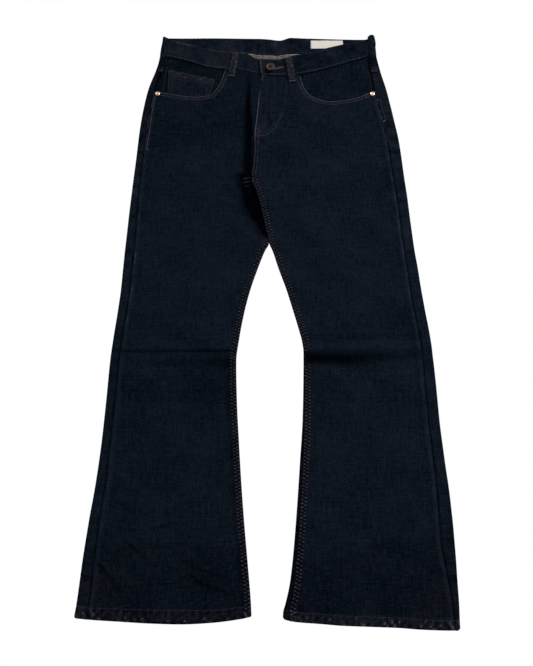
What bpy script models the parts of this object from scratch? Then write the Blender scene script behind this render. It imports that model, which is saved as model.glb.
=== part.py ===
"""Bootcut jeans laid flat on their back, front up, waist towards +Y and hems towards -Y.

Each cut piece is one cloth wall. Sizes are in millimetres, and become metres in the meshes.
X is measured from the middle of the garment as laid and `up` is the distance up from the hems.
A half of the garment is described in its own terms: `out` is the distance from the middle
towards that half's side seam, so it is -X on the left half and +X on the right half.
"""

import math
from collections import namedtuple

import bpy
from mathutils import Vector

MM = 0.001
CLOTH = 1.1  # wall of one layer of denim
BAND_CLOTH = 2.4  # wall of the doubled waistband
GAP = 0.3  # between pieces at a seam
WAIST_GAP = 0.5  # at the waist seam, which is curved
HIP_GAP = 0.8  # at the outseam over the hip, which is curved too
LEG_TOP = 5.0  # height of the front's face over the table at the legs
HIP_TOP = 6.8  # and at the hips, where the pockets lie inside
BAND_TOP = 7.6  # of the waistband, before its own slight crown
LAPPED_TOP = 5.9  # where the left half lies under the closed fly and waistband
LAPPING_TOP = 9.6  # and of the waistband's end over it
BAND_CROWN = 0.4
HOLLOW_TOP = 4.0  # floor of the hollow beside the crotch
THINNEST = 2.7  # lowest face of the front over the back, and where the seam allowance lies below
THINNEST_SEAM = 4.0
CROTCH_UP = 764
FORK_UP = 628  # the legs part here, and above it they lie edge to edge
SWELL_RISE = 2.4  # the cloth stands up round the crotch, from this middle and as far as this
SWELL_X, SWELL_UP = -20, 728
SWELL_REACH_X, SWELL_REACH_UP = 120, 130
RIDGE_WIDTH = 48  # of the right front's ridge along the fly and inseam
HEM_DEPTH = 15
HEM_RISE = 0.9  # the turned-up hem is thicker than the leg
FELL_WIDTH = 10  # the felled inseam is a raised strip along the front's edge
FELL_RISE = 0.7
FELL_ENDS = {"left": 640, "right": 850}  # it goes out of sight at the fork, and up to the fly
UNDERLAP = 10  # the left front runs on under the fly
WAIST_UP = 1000  # nominal top of the panels, before the dip of the waist seam
WIDEST = 300  # beyond both side edges
POCKET_END = 953  # where the pocket openings meet the outseams
POCKET_DROP = 3.0  # the pocket facing lies this much below the front's face
POCKET_DEPTH = 45  # of facing below the opening's lowest point
FACING_TOP = 1030
SEAT_MARGIN = 8.0  # strip of the back panel that turns up into the inseam

Station = namedtuple("Station", "up outer wrap inner peek")
Fold = namedtuple("Fold", "out up out_end up_end rise rise_end above below")
Half = namedtuple("Half", "name sign stations pocket waist_seam band_top band_side folds hem")

# outer: the folded side edge. wrap: how far the back comes round it onto the front.
# inner: the folded inseam edge, on the legs only. peek: how far it shows beyond the front.
LEFT_STATIONS = (
    Station(0, 284, 19, 21.5, 0.5),
    Station(30, 281, 19, 23, 0.5),
    Station(90, 277.5, 18, 28.5, 0.5),
    Station(150, 272.5, 16.5, 34.5, 0.5),
    Station(210, 266.5, 16, 39.5, 0.5),
    Station(275, 262.5, 14, 44, 0.5),
    Station(340, 260.5, 14.5, 48, 0.5),
    Station(410, 259, 15, 50, 0.5),
    Station(450, 256.5, 15, 45.5, 0.5),
    Station(500, 252.5, 15, 37, 0.5),
    Station(540, 250, 15.5, 27.5, 0.5),
    Station(580, 249, 16, 15, 0.5),
    Station(616, 248, 16, 2, 0.5),
    Station(628, 247.5, 16, -4, 0.5),
    Station(692, 245.3, 14.5, 9.5, 0.5),
    Station(764, 242, 13, 28.2, 0.5),
    Station(810, 239.6, 12.5, 28.2, 0.5),
    Station(848, 238, 14, 28.2, 0.5),
    Station(880, 236, 16, 28.2, 0.5),
    Station(913, 232.8, 14, 28.2, 0.5),
    Station(960, 225.9, 11, 28.2, 0.5),
    Station(1007, 213.2, 10, 28.2, 0.5),
    Station(1023, 209.8, 9.5, 28.2, 0.5),
    Station(1037, 207.8, 9, 28.2, 0.5),
)
RIGHT_STATIONS = (
    Station(0, 283.5, 8, 23.5, 10),
    Station(18, 284.5, 9, 24.6, 9.5),
    Station(33, 285, 10.4, 28.3, 9),
    Station(62, 285.3, 14, 34.9, 7),
    Station(90, 285.8, 18, 39, 6),
    Station(125, 286, 21, 43, 5.5),
    Station(180, 285, 20, 48, 5),
    Station(243, 281.5, 18, 53, 4.5),
    Station(308, 278.5, 18, 58, 3),
    Station(376, 277.5, 18, 60.5, 2),
    Station(425, 276, 18, 61.5, 1.5),
    Station(445, 275, 17.5, 59.3, 1.5),
    Station(465, 273.3, 18, 54.5, 1),
    Station(500, 269.5, 18.5, 45.2, 1),
    Station(540, 265.8, 19, 34, 0.8),
    Station(580, 262.8, 18.5, 20.8, 0.5),
    Station(616, 259.5, 17.6, 10, 0.5),
    Station(628, 258.7, 17.8, 4.9, 0.5),
    Station(648, 257.6, 18, 0.4, 0.5),
    Station(692, 255.2, 18.4, -8.7, 0.5),
    Station(723, 253.8, 19, -15.7, 0.5),
    Station(764, 251, 20, -27.5, 0.5),
    Station(810, 248.4, 21, -27.5, 0.5),
    Station(848, 245.5, 21.8, -27.5, 0.5),
    Station(880, 241, 22.5, -27.5, 0.5),
    Station(913, 236.4, 22.8, -27.5, 0.5),
    Station(960, 229, 22, -27.5, 0.5),
    Station(1007, 219.2, 18, -27.5, 0.5),
    Station(1030, 215.6, 17, -27.5, 0.5),
    Station(1044, 213.5, 16, -27.5, 0.5),
)
# Lines across the garment, as (X, up).
LEFT_WAIST_SEAM = (
    (-207, 1038), (-194, 1036), (-152, 1025), (-113, 1011), (-84, 1007),
    (-49, 1003), (-9, 995.5), (25, 992),
)
RIGHT_WAIST_SEAM = (
    (-30, 991), (-9, 990.7), (16, 988.8), (41, 989.6), (78, 996.6), (116, 1007),
    (154, 1020), (191.5, 1034), (217, 1046),
)
LEFT_BAND_TOP = (
    (-204, 1086), (-183.5, 1075), (-142, 1063), (-100.5, 1051.5), (-65, 1047),
    (-42, 1045.7), (-14.6, 1030.5), (25, 1026.5),
)
RIGHT_BAND_TOP = (
    (-16, 1029.4), (18.4, 1027), (53.5, 1039.4), (85, 1046.4), (128, 1060.4),
    (193.5, 1077.7), (215, 1086),
)
BACK_BAND_TOP = (
    (-204, 1086), (-131, 1084.5), (-17, 1084.5), (5, 1083), (26, 1080), (48, 1087),
    (72, 1085.5), (194, 1082), (215, 1086),
)
BACK_WAIST_SEAM = (
    (-207, 1038), (-150, 1044), (-42, 1048), (-5, 1043.5), (17, 1043), (30, 1044.3),
    (54, 1046.4), (82, 1047.2), (150, 1046), (217, 1046),
)
# Where the waistband folds round the side, as (share of its height, out).
LEFT_BAND_SIDE = ((0, 207.8), (0.4, 206.6), (0.75, 204.8), (1, 204.2))
RIGHT_BAND_SIDE = ((0, 213.4), (0.25, 213.2), (0.6, 214.6), (1, 213))
# The hems' lower edges and the pocket openings' edges, as (out, up).
LEFT_HEM = (
    (21, 11.5), (24, 9.5), (38, 6.5), (82, 1.2), (126, -0.8), (170, 0.3), (214, 2.8), (258, 5.4),
    (280, 7.7), (284, 10.5),
)
RIGHT_HEM = (
    (23.6, 9), (26.4, 6), (35, 3.6), (50, 1.7), (79, -0.2), (108, -2.6), (152, -4.2), (196, -5.8),
    (225, -8), (268, -9.4), (279, -9.5), (283, -7),
)
LEFT_POCKET = (
    (78, 1020), (81, 1004), (93.7, 964), (110, 944.5), (140.6, 941.5), (170, 946), (192, 951),
    (219, 954.5),
)
RIGHT_POCKET = (
    (62, 1010), (64.5, 996), (75, 957), (90, 941), (120, 930.5), (149, 934), (178, 942),
    (201, 953.5), (212, 955),
)
# Lines along the garment, as (up, X): the fly's edge, the seat seam behind, and the middle of
# the groove in the left front beside the fly, with its half width and depth.
FLY_LINE = (
    (764, -29), (787, -25), (810, -23.6), (848, -23), (880, -20.4),
    (913, -17.5), (960, -13.4), (985, -9.3), (1000, -8.6),
)
BACK_CENTRE = ((764, -27.8), (800, -20), (850, -13), (900, -8), (950, -2), (1000, 6), (1050, 10.5))
GROOVE_LINE = ((752, -35), (774, -35), (843, -33.6), (913, -35.3), (950, -34.3), (1000, -33))
GROOVE_HALF = ((752, 9), (774, 8), (843, 7.5), (913, 6), (950, 4.5), (1000, 3))
GROOVE_DROP = ((748, 0), (775, 3.6), (900, 3.4), (960, 2.4), (1000, 0.6))
# The hollow in the left front beside the crotch: (up, out) where it starts and where its floor
# starts, (up, share) of its depth, and the height of the right front's ridge along the fly.
HOLLOW_START = ((636, 12), (664, 24), (696, 40), (721, 57), (734, 62), (764, 56))
HOLLOW_FLOOR = ((636, 0), (654, 4.4), (676, 18), (700, 31), (723, 41), (764, 43))
HOLLOW_SHARE = ((628, 0), (650, 0.9), (680, 1), (750, 1), (766, 0))
RIDGE_RISE = ((540, 0), (628, 0.8), (700, 1.9), (764, 2.4), (1000, 2.2))
LEFT_FOLDS = (
    Fold(50, 411, 215, 409, 2.3, 0.8, 9, 14),
    Fold(50, 425, 215, 424, -1.3, -0.8, 6, 6),
    Fold(52, 391, 125, 393, -1.6, 0, 14, 12),
)
RIGHT_FOLDS = (
    Fold(60, 429, 262, 434, 3.4, 1.2, 18, 13),
    Fold(60, 410, 135, 405.5, -1.9, -1.6, 10, 13),
    Fold(135, 405.5, 256, 419, -1.6, -0.5, 10, 13),
    Fold(70, 450, 256, 450, -0.8, -0.6, 9, 9),
)
LEFT = Half(
    "left", -1, LEFT_STATIONS, LEFT_POCKET, LEFT_WAIST_SEAM, LEFT_BAND_TOP, LEFT_BAND_SIDE,
    LEFT_FOLDS, LEFT_HEM,
)
RIGHT = Half(
    "right", 1, RIGHT_STATIONS, RIGHT_POCKET, RIGHT_WAIST_SEAM, RIGHT_BAND_TOP, RIGHT_BAND_SIDE,
    RIGHT_FOLDS, RIGHT_HEM,
)

LEG_ROWS = (
    0, 7, 14.4, 15.6, 40, 75, 110, 150, 190, 230, 270, 310, 345, 368, 380, 388, 396, 402, 407, 412,
    418, 424, 431, 439, 448, 460, 480, 510, 540, 570, 600, 628, 642, 657, 673, 690, 707, 724, 738,
    750, 759, 766, 776, 795, 820, 850, 880, 900, 915, 930, 945, 960, 972, 986, 1000,
)
BACK_ROWS = (
    0, 14.4, 15.6, 40, 75, 110, 150, 190, 230, 270, 310, 345, 380, 396, 407, 418, 431, 448, 480,
    510, 540, 570, 600, 628, 657, 690, 724, 738, 750, 758, 764, 795, 820, 850, 880, 900, 915,
    930, 945, 960, 972, 986, 1000,
)
FRONT_SHARES = (0.11, 0.2, 0.29, 0.35, 0.385, 0.42, 0.455, 0.51, 0.6, 0.7, 0.8, 0.9, 1)
FOLD_STEPS = 6  # segments round a folded edge
SEAT_STEPS = 3  # columns over the part of the back that lies on the table
DENIM = (0.0065, 0.0110, 0.0190)


def track(points):
    """A smooth function through (at, value) pairs that never overshoots them."""
    at = [p[0] for p in points]
    value = [p[1] for p in points]
    rates = [(value[i + 1] - value[i]) / (at[i + 1] - at[i]) for i in range(len(at) - 1)]
    slopes = [rates[0]]
    for low, high in zip(rates, rates[1:]):
        slopes.append(0 if low * high <= 0 else 2 * low * high / (low + high))
    slopes.append(rates[-1])

    def read(x):
        x = min(max(x, at[0]), at[-1])
        i = max(k for k in range(len(at) - 1) if at[k] <= x or k == 0)
        span = at[i + 1] - at[i]
        t = (x - at[i]) / span
        rest = 1 - t
        return (
            value[i] * rest * rest * (1 + 2 * t)
            + value[i + 1] * t * t * (3 - 2 * t)
            + span * t * rest * (slopes[i] * rest - slopes[i + 1] * t)
        )

    return read


def ramp(start, end, x):
    """From 0 at start to 1 at end, level at both."""
    t = min(max((x - start) / (end - start), 0), 1)
    return t * t * (3 - 2 * t)


def bump(distance, reach):
    """1 at the middle, 0 from reach on."""
    return 0.5 + 0.5 * math.cos(math.pi * min(abs(distance) / reach, 1))


def mix(a, b, t):
    return a + (b - a) * t


def station_tracks(half):
    return {
        field: track([(row.up, getattr(row, field)) for row in half.stations])
        for field in ("outer", "wrap", "inner", "peek")
    }


TRACKS = {half.name: station_tracks(half) for half in (LEFT, RIGHT)}
fly_x = track(FLY_LINE)
back_centre_x = track(BACK_CENTRE)
groove_x = track(GROOVE_LINE)
groove_half = track(GROOVE_HALF)
groove_drop = track(GROOVE_DROP)
hollow_start = track(HOLLOW_START)
hollow_floor = track(HOLLOW_FLOOR)
hollow_share = track(HOLLOW_SHARE)
ridge_rise = track(RIDGE_RISE)
SEAM = {half.name: track(half.waist_seam) for half in (LEFT, RIGHT)}
BAND_EDGE = {half.name: track(half.band_top) for half in (LEFT, RIGHT)}
BAND_SIDE = {half.name: track(half.band_side) for half in (LEFT, RIGHT)}
POCKET = {half.name: track(half.pocket) for half in (LEFT, RIGHT)}
HEM = {half.name: track(half.hem) for half in (LEFT, RIGHT)}
back_seam = track(BACK_WAIST_SEAM)
back_top = track(BACK_BAND_TOP)


def inner_edge(half, up):
    """The folded inseam edge. Between crotch and fork the left leg lies along the right one."""
    if half is LEFT and up > FORK_UP:
        return 2 * GAP - TRACKS["right"]["inner"](up)
    return TRACKS[half.name]["inner"](up)


def front_inner(half, up):
    """The front's inner edge: the inseam, then the fly's edge or the underlap below it."""
    if up <= CROTCH_UP:
        return inner_edge(half, up) + TRACKS[half.name]["peek"](up)
    under = UNDERLAP * ramp(CROTCH_UP, CROTCH_UP + 20, up) if half is LEFT else 0
    seam = inner_edge(half, CROTCH_UP) + TRACKS[half.name]["peek"](CROTCH_UP)
    edge = half.sign * fly_x(up)
    return mix(seam, edge, ramp(CROTCH_UP, CROTCH_UP + 12, up)) - under


def outseam(half, up):
    """Where the front meets the back that comes round the side edge."""
    tracks = TRACKS[half.name]
    return tracks["outer"](up) - tracks["wrap"](up)


def side_gap(up):
    return mix(GAP, HIP_GAP, ramp(760, 820, up))


def fold_rise(fold, out, up):
    """A soft ridge or trough along the fold's line, fading past its ends."""
    run = (fold.out_end - fold.out, fold.up_end - fold.up)
    length = math.hypot(*run)
    along = ((out - fold.out) * run[0] + (up - fold.up) * run[1]) / length
    across = (-(out - fold.out) * run[1] + (up - fold.up) * run[0]) / length
    reach = fold.above if across > 0 else fold.below
    fade = ramp(length + 30, length, along) * ramp(-25, 0, along)
    return mix(fold.rise, fold.rise_end, min(max(along / length, 0), 1)) * bump(across, reach) * fade


def base_height(up):
    """Height of the front's face where nothing else shapes it."""
    return mix(LEG_TOP, HIP_TOP, ramp(780, 900, up))


def front_height(half, out, up):
    """Height of the front's face over the table."""
    edge = out - front_inner(half, up)
    height = base_height(up)
    swell = bump(up - SWELL_UP, SWELL_REACH_UP) * bump(half.sign * out - SWELL_X, SWELL_REACH_X)
    height += SWELL_RISE * swell
    for fold in half.folds:
        height += fold_rise(fold, out, up)
    if half is RIGHT:
        height += ridge_rise(up) * ramp(RIDGE_WIDTH, 6, edge)
    else:
        x = -out
        height -= groove_drop(up) * bump(x - groove_x(up), groove_half(up))
        deep = ramp(hollow_start(up), hollow_floor(up), out) * hollow_share(up)
        height = mix(height, HOLLOW_TOP, deep)
        lapped = ramp(CROTCH_UP, 790, up) * ramp(UNDERLAP + 3, UNDERLAP - 3, edge)
        height = mix(height, LAPPED_TOP, lapped)
    lowest = mix(THINNEST, THINNEST_SEAM, ramp(18, 12, edge))
    height = max(height, lowest)
    end = FELL_ENDS[half.name]
    height += FELL_RISE * ramp(FELL_WIDTH + 0.6, FELL_WIDTH - 0.4, edge) * ramp(end, end - 12, up)
    return height + HEM_RISE * ramp(HEM_DEPTH + 0.5, HEM_DEPTH - 0.5, up - HEM[half.name](out))


def row_up(half, up, out, top):
    """A row's place: the nominal one, bent to the hem below and to the waist above."""
    hem = HEM[half.name](out) * ramp(160, 20, up)
    return up + hem + (top - WAIST_UP) * ramp(760, WAIST_UP, up)


def front_top(half, out):
    """The front's upper edge: the waist seam, cut down at the side by the pocket opening."""
    seam = SEAM[half.name](half.sign * out) - WAIST_GAP / 2
    return min(seam, POCKET[half.name](out)) if out > half.pocket[0][0] else seam


def front_rows(half):
    rows = []
    top_in = front_inner(half, WAIST_UP)
    top_out = outseam(half, POCKET_END)
    for up in LEG_ROWS:
        inner = front_inner(half, row_up(half, up, 0, WAIST_UP))
        side_up = row_up(half, up, WIDEST, POCKET_END)
        outer = outseam(half, side_up) - side_gap(side_up) / 2
        outs = [inner, inner + FELL_WIDTH - 0.4, inner + FELL_WIDTH + 0.6]
        outs += [mix(inner, outer, share) for share in FRONT_SHARES]
        row = []
        for out in outs:
            share = (out - inner) / (outer - inner)
            place = row_up(half, up, out, front_top(half, mix(top_in, top_out, share)))
            row.append((half.sign * out, place, front_height(half, out, place)))
        rows.append(row)
    return rows


def back_section(half, up, inner, inner_top):
    """One section of a back panel: over the side edge, along the table and up into the inseam."""
    outer = TRACKS[half.name]["outer"](up)
    top = front_height(half, outer - 4, up)
    radius = top / 2
    seam = outseam(half, up) + side_gap(up) / 2
    section = [(seam, front_height(half, seam, up))]
    middle = mix(seam, outer - radius, 0.5)
    section.append((middle, front_height(half, middle, up)))
    for step in range(FOLD_STEPS + 1):
        angle = math.pi * (0.5 - step / FOLD_STEPS)
        section.append((outer - radius + radius * math.cos(angle), radius + radius * math.sin(angle)))
    turned = ramp(762, 747, up)
    curl = inner_top / 2
    start = outer - radius
    end = inner + mix(SEAT_MARGIN, curl, turned)
    section += [(mix(start, end, k / SEAT_STEPS), 0) for k in range(1, SEAT_STEPS + 1)]
    for step in range(1, FOLD_STEPS + 2):
        share = min(step / FOLD_STEPS, 1)
        angle = -math.pi / 2 + math.pi * share
        past = 4.0 if step > FOLD_STEPS else 0
        curled = (inner + curl - curl * math.cos(angle) + past, curl + curl * math.sin(angle))
        flat = (end - SEAT_MARGIN * step / (FOLD_STEPS + 1), 0)
        section.append((mix(flat[0], curled[0], turned), mix(flat[1], curled[1], turned)))
    return section


def back_rows(half):
    rows = []
    for up in BACK_ROWS:
        inner_up = row_up(half, up, 0, WAIST_UP)
        if up < CROTCH_UP:
            inner = inner_edge(half, inner_up)
        else:
            inner = half.sign * back_centre_x(up) + GAP / 2
        edge = front_inner(half, min(inner_up, CROTCH_UP))
        near = [(edge + inwards, inner_up + along) for inwards in (0, 2, 4, 6) for along in (-7, 0, 7)]
        under_front = min(front_height(half, *place) for place in near) - CLOTH - GAP
        side_up = row_up(half, up, WIDEST, SEAM[half.name](half.sign * WIDEST))
        section = back_section(half, side_up, inner, under_front)
        row = []
        for k, (out, height) in enumerate(section):
            over = ramp(FOLD_STEPS + 2, 2, k)
            front_seam = SEAM[half.name](half.sign * out)
            top = mix(back_seam(half.sign * out), front_seam, over) - WAIST_GAP / 2
            place = row_up(half, up, out, top)
            row.append((half.sign * out, place, height))
        rows.append(row)
    return rows


def panel_object(name, rows, wall, flipped):
    """A sheet through rows of points, its wall grown inwards from its outer face."""
    width = len(rows[0])
    points = [Vector(point) * MM for row in rows for point in row]
    faces = []
    for j in range(len(rows) - 1):
        for i in range(width - 1):
            a = j * width + i
            face = (a, a + 1, a + width + 1, a + width)
            faces.append(face[::-1] if flipped else face)
    mesh = bpy.data.meshes.new(name)
    mesh.from_pydata(points, [], faces)
    mesh.shade_smooth()
    panel = bpy.data.objects.new(name, mesh)
    shell = panel.modifiers.new("Wall", "SOLIDIFY")
    shell.thickness = wall * MM
    shell.offset = -1
    shell.use_even_offset = True
    shell.use_quality_normals = True
    return panel


def pocket_facing(half):
    """The layer seen inside the pocket opening, tucked under the front, the side edge and the band."""
    lowest = min(place[1] for place in half.pocket) - POCKET_DEPTH
    rows = []
    for j in range(8):
        row = []
        for i in range(9):
            share = i / 8
            level = mix(lowest, FACING_TOP, j / 7)
            side = min(outseam(half, level) + 5, TRACKS[half.name]["outer"](level) - 10)
            out = mix(half.pocket[0][0] - 8, side, share)
            high = SEAM[half.name](half.sign * out) + 6
            up = mix(lowest + 18 * (1 - share) ** 2, high, j / 7)
            row.append((half.sign * out, up, base_height(up) - POCKET_DROP))
        rows.append(row)
    return panel_object(f"pocket_facing_{half.name}", rows, CLOTH, half is LEFT)


COIN_TOP = ((-190, 1006.5), (-98, 983.5))
COIN_BOTTOM = ((-190, 935), (-112, 925))
COIN_HEM = 0.5  # its turned top edge stands this much higher


def coin_pocket():
    """The small patch pocket on the left facing. Its lower part lies under the front."""
    steps = 6
    rows = []
    for j in range(steps + 1):
        row = []
        for i in range(steps + 1):
            low = Vector(COIN_BOTTOM[0]).lerp(Vector(COIN_BOTTOM[1]), i / steps)
            high = Vector(COIN_TOP[0]).lerp(Vector(COIN_TOP[1]), i / steps)
            x, up = low.lerp(high, j / steps)
            lift = GAP + CLOTH + COIN_HEM * ramp(0.68, 0.74, j / steps)
            row.append((x, up, base_height(up) - POCKET_DROP + lift))
        rows.append(row)
    return panel_object("coin_pocket", rows, CLOTH, False)


def band_height(half, x, share):
    """The waistband's outer face on the front. Its right end laps over the left one."""
    crown = BAND_CROWN * math.sin(math.pi * share)
    if half is LEFT:
        return mix(BAND_TOP, LAPPED_TOP, ramp(-62, -22, x)) + crown
    return mix(BAND_TOP, LAPPING_TOP, ramp(60, 15, x)) + crown


BAND_ROWS = 4
LEFT_BAND_X = (24, 10, -5, -15, -24, -32, -40, -48, -56, -68, -82, -100, -120, -145, -170, -190)
RIGHT_BAND_X = (196, 180, 155, 130, 105, 85, 68, 54, 42, 30, 18, 6, -4, -13)
BACK_BAND_X = (-185, -165, -130, -90, -40, -10, 10, 28, 48, 86, 140, 190)


def band_side_column(half, angle, share):
    """A point of the waistband where it folds round the side, angle 90 at the front and -90 behind."""
    radius = BAND_TOP / 2
    edge = BAND_SIDE[half.name](share)
    out = edge - radius + radius * math.cos(math.radians(angle))
    front = (SEAM[half.name](half.sign * WIDEST), BAND_EDGE[half.name](half.sign * WIDEST))
    up = mix(front[0] + 2 * WAIST_GAP, front[1], share)
    return (half.sign * out, up, radius + radius * math.sin(math.radians(angle)))


def band_front_column(half, x, share):
    low, high = SEAM[half.name](x) + WAIST_GAP / 2, BAND_EDGE[half.name](x)
    slant = mix(1.8, -1.9, share) if x == RIGHT_BAND_X[-1] else 0
    return (x + slant, mix(low, high, share), band_height(half, x, share))


def waistband():
    """One strip from the underlap, round the left side, across the back and round to the overlap."""
    angles = [90 - 180 * k / FOLD_STEPS for k in range(FOLD_STEPS + 1)]
    rows = []
    for j in range(BAND_ROWS):
        share = j / (BAND_ROWS - 1)
        row = [band_front_column(LEFT, x, share) for x in LEFT_BAND_X]
        row += [band_side_column(LEFT, angle, share) for angle in angles]
        for x in BACK_BAND_X:
            row.append((x, mix(back_seam(x) + WAIST_GAP / 2, back_top(x), share), 0))
        row += [band_side_column(RIGHT, angle, share) for angle in reversed(angles)]
        row += [band_front_column(RIGHT, x, share) for x in RIGHT_BAND_X]
        rows.append(row)
    return panel_object("waistband", rows, BAND_CLOTH, True)


def outer_height(x, up):
    """The highest cloth at a point of the front: band, panel or pocket facing."""
    half = RIGHT if x > fly_x(min(max(up, CROTCH_UP), WAIST_UP)) else LEFT
    seam = SEAM[half.name](x)
    if up > seam - 1:
        share = min(max((up - seam) / (BAND_EDGE[half.name](x) - seam), 0), 1)
        return band_height(half, x, share)
    return front_height(half, half.sign * x, up)


LOOP_WALL = 1.6
LOOP_BULGE = 1.4
Loop = namedtuple("Loop", "name top_x top_up low_x low_up width")
LOOPS = (
    Loop("belt_loop_front_left", -60.0, 1045.5, -67.7, 987.3, 13.0),
    Loop("belt_loop_front_right", 42.5, 1030.5, 50.0, 974.2, 14.0),
    Loop("belt_loop_side_left", -197.6, 1080.5, -204.6, 999.0, 11.0),
    Loop("belt_loop_side_right", 205.0, 1088.0, 207.8, 998.0, 14.5),
)
LOOP_STEPS = 10
BAND_UP = 1080  # a point of the front waistband beyond its upper edge is read at the edge


def belt_loop(loop):
    """A strip over the waistband, bowed off it in the middle and sewn down at both ends."""
    down = Vector((loop.low_x - loop.top_x, loop.low_up - loop.top_up))
    across = Vector((-down.y, down.x)).normalized()
    if across.x < 0:
        across.negate()
    rows = []
    for j in range(LOOP_STEPS + 1):
        t = j / LOOP_STEPS
        middle = Vector((loop.top_x, loop.top_up)) + down * t
        under = max(
            outer_height(middle.x + dx, min(middle.y + dy, BAND_UP))
            for dx in (-loop.width / 2, 0, loop.width / 2)
            for dy in (-9, -4, 0, 4, 9)
        )
        height = under + GAP + LOOP_WALL + LOOP_BULGE * math.sin(math.pi * t) ** 0.7
        row = []
        for i in range(3):
            side = middle + across * loop.width * (i / 2 - 0.5)
            row.append((side.x, side.y, height - (0.25 if i != 1 else 0)))
        rows.append(row)
    return panel_object(loop.name, rows, LOOP_WALL, True)


ZIP_WIDTH = 22
ZIP_LENGTH = 125
ZIP_TOP = 990
ZIP_WALL = 1.2


def fly_zip():
    """The closed zip's tape, hidden between the left front and the back."""
    rows = []
    for j in range(6):
        up = mix(ZIP_TOP - ZIP_LENGTH, ZIP_TOP, j / 5)
        middle = fly_x(up) + 6
        row = [(middle - ZIP_WIDTH / 2, up, 3.4), (middle, up, 3.9), (middle + ZIP_WIDTH / 2, up, 3.4)]
        rows.append(row)
    return panel_object("fly_zip", rows, ZIP_WALL, False)


LABEL_X = (87, 150)
LABEL_UP = (1059, 1078.5)
LABEL_WALL = 1.0


def back_label():
    """A plain woven label on the inside of the back waistband."""
    height = BAND_CLOTH + GAP + LABEL_WALL
    rows = [[(x, up, height) for x in LABEL_X] for up in LABEL_UP]
    return panel_object("back_label", rows, LABEL_WALL, False)


# Turned outlines from the middle of the face to the foot, as (radius, height).
BUTTON_PROFILE = (
    (0, 5.2), (4.2, 5.1), (6.6, 4.7), (7.4, 4.9), (8.2, 4.4), (8.5, 3.4), (8.1, 2.5), (3.2, 2.0),
    (3.0, 0), (0, 0),
)
RIVET_PROFILE = (
    (0, 2.0), (1.1, 1.9), (1.5, 1.3), (2.2, 1.2), (3.0, 1.6), (4.2, 1.2), (4.75, 0.5), (4.6, 0),
    (0, 0),
)
BUTTON_AT = (7.5, 1005.5)
RIVETS_AT = ((LEFT, -207, 947.5), (RIGHT, 201.5, 947))


def turned(name, profile, x, up, height):
    """A turned fastener standing on the cloth."""
    mesh = bpy.data.meshes.new(name)
    points = [(r * MM, 0, z * MM) for r, z in profile]
    mesh.from_pydata(points, [(k, k + 1) for k in range(len(points) - 1)], [])
    piece = bpy.data.objects.new(name, mesh)
    piece.location = (x * MM, up * MM, height * MM)
    screw = piece.modifiers.new("Turn", "SCREW")
    screw.steps = 18
    screw.render_steps = 18
    screw.use_merge_vertices = True
    screw.merge_threshold = 0.00001
    screw.use_normal_calculate = True
    return piece


def material(name, colour, roughness, metallic=0.0):
    made = bpy.data.materials.new(name)
    made.use_nodes = True
    shader = made.node_tree.nodes["Principled BSDF"]
    shader.inputs["Base Color"].default_value = (*colour, 1)
    shader.inputs["Roughness"].default_value = roughness
    shader.inputs["Metallic"].default_value = metallic
    return made


def fasteners():
    on_band = band_height(RIGHT, BUTTON_AT[0], 0.5) + GAP
    made = [turned("waist_button", BUTTON_PROFILE, *BUTTON_AT, on_band)]
    around = (-5, 0, 5)
    for half, x, up in RIVETS_AT:
        face = max(front_height(half, half.sign * x + dx, up + dy) for dx in around for dy in around)
        made.append(turned(f"rivet_{half.name}", RIVET_PROFILE, x, up, face + GAP))
    return made


def place_on_origin(pieces):
    """Moves the garment so that the middle of its box stands over the origin."""
    corners = [v.co + piece.location for piece in pieces for v in piece.data.vertices]
    middle_x = (min(c.x for c in corners) + max(c.x for c in corners)) / 2
    middle_y = (min(c.y for c in corners) + max(c.y for c in corners)) / 2
    for piece in pieces:
        piece.location -= Vector((middle_x, middle_y, 0))


def main():
    for old in list(bpy.data.objects):
        bpy.data.objects.remove(old, do_unlink=True)
    jeans = bpy.data.collections.new("bootcut_jeans")
    bpy.context.scene.collection.children.link(jeans)
    denim = material("denim", DENIM, 0.85)
    copper = material("aged_copper", (0.45, 0.24, 0.18), 0.35, 1.0)
    woven = material("cream_label", (0.62, 0.58, 0.50), 0.8)
    tape = material("zip_tape", (0.02, 0.02, 0.025), 0.7)
    cloth = []
    for half in (LEFT, RIGHT):
        cloth.append(panel_object(f"front_{half.name}", front_rows(half), CLOTH, half is LEFT))
        cloth.append(panel_object(f"back_{half.name}", back_rows(half), CLOTH, half is LEFT))
        cloth.append(pocket_facing(half))
    cloth += [coin_pocket(), waistband()] + [belt_loop(loop) for loop in LOOPS]
    groups = ((cloth, denim), (fasteners(), copper), ([back_label()], woven), ([fly_zip()], tape))
    pieces = []
    for group, finish in groups:
        for piece in group:
            piece.data.materials.append(finish)
            jeans.objects.link(piece)
            pieces.append(piece)
    place_on_origin(pieces)


main()
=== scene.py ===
"""The looks of the bootcut jeans: cloth shells, stitching, fasteners, finishes, floor and light.

Sizes are in millimetres until a mesh is made. X is measured from the middle of the garment as
laid and `up` is the distance up from the hems, as in the part's source. A half of the garment is
described by `out`, the distance from the middle towards that half's side seam. The cloth's form
is the part's own form, read at many more places and with its folds, puckers and seams added.
"""

import math
from collections import namedtuple

import bpy
import numpy as np
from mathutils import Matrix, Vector
from mathutils.bvhtree import BVHTree


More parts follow.
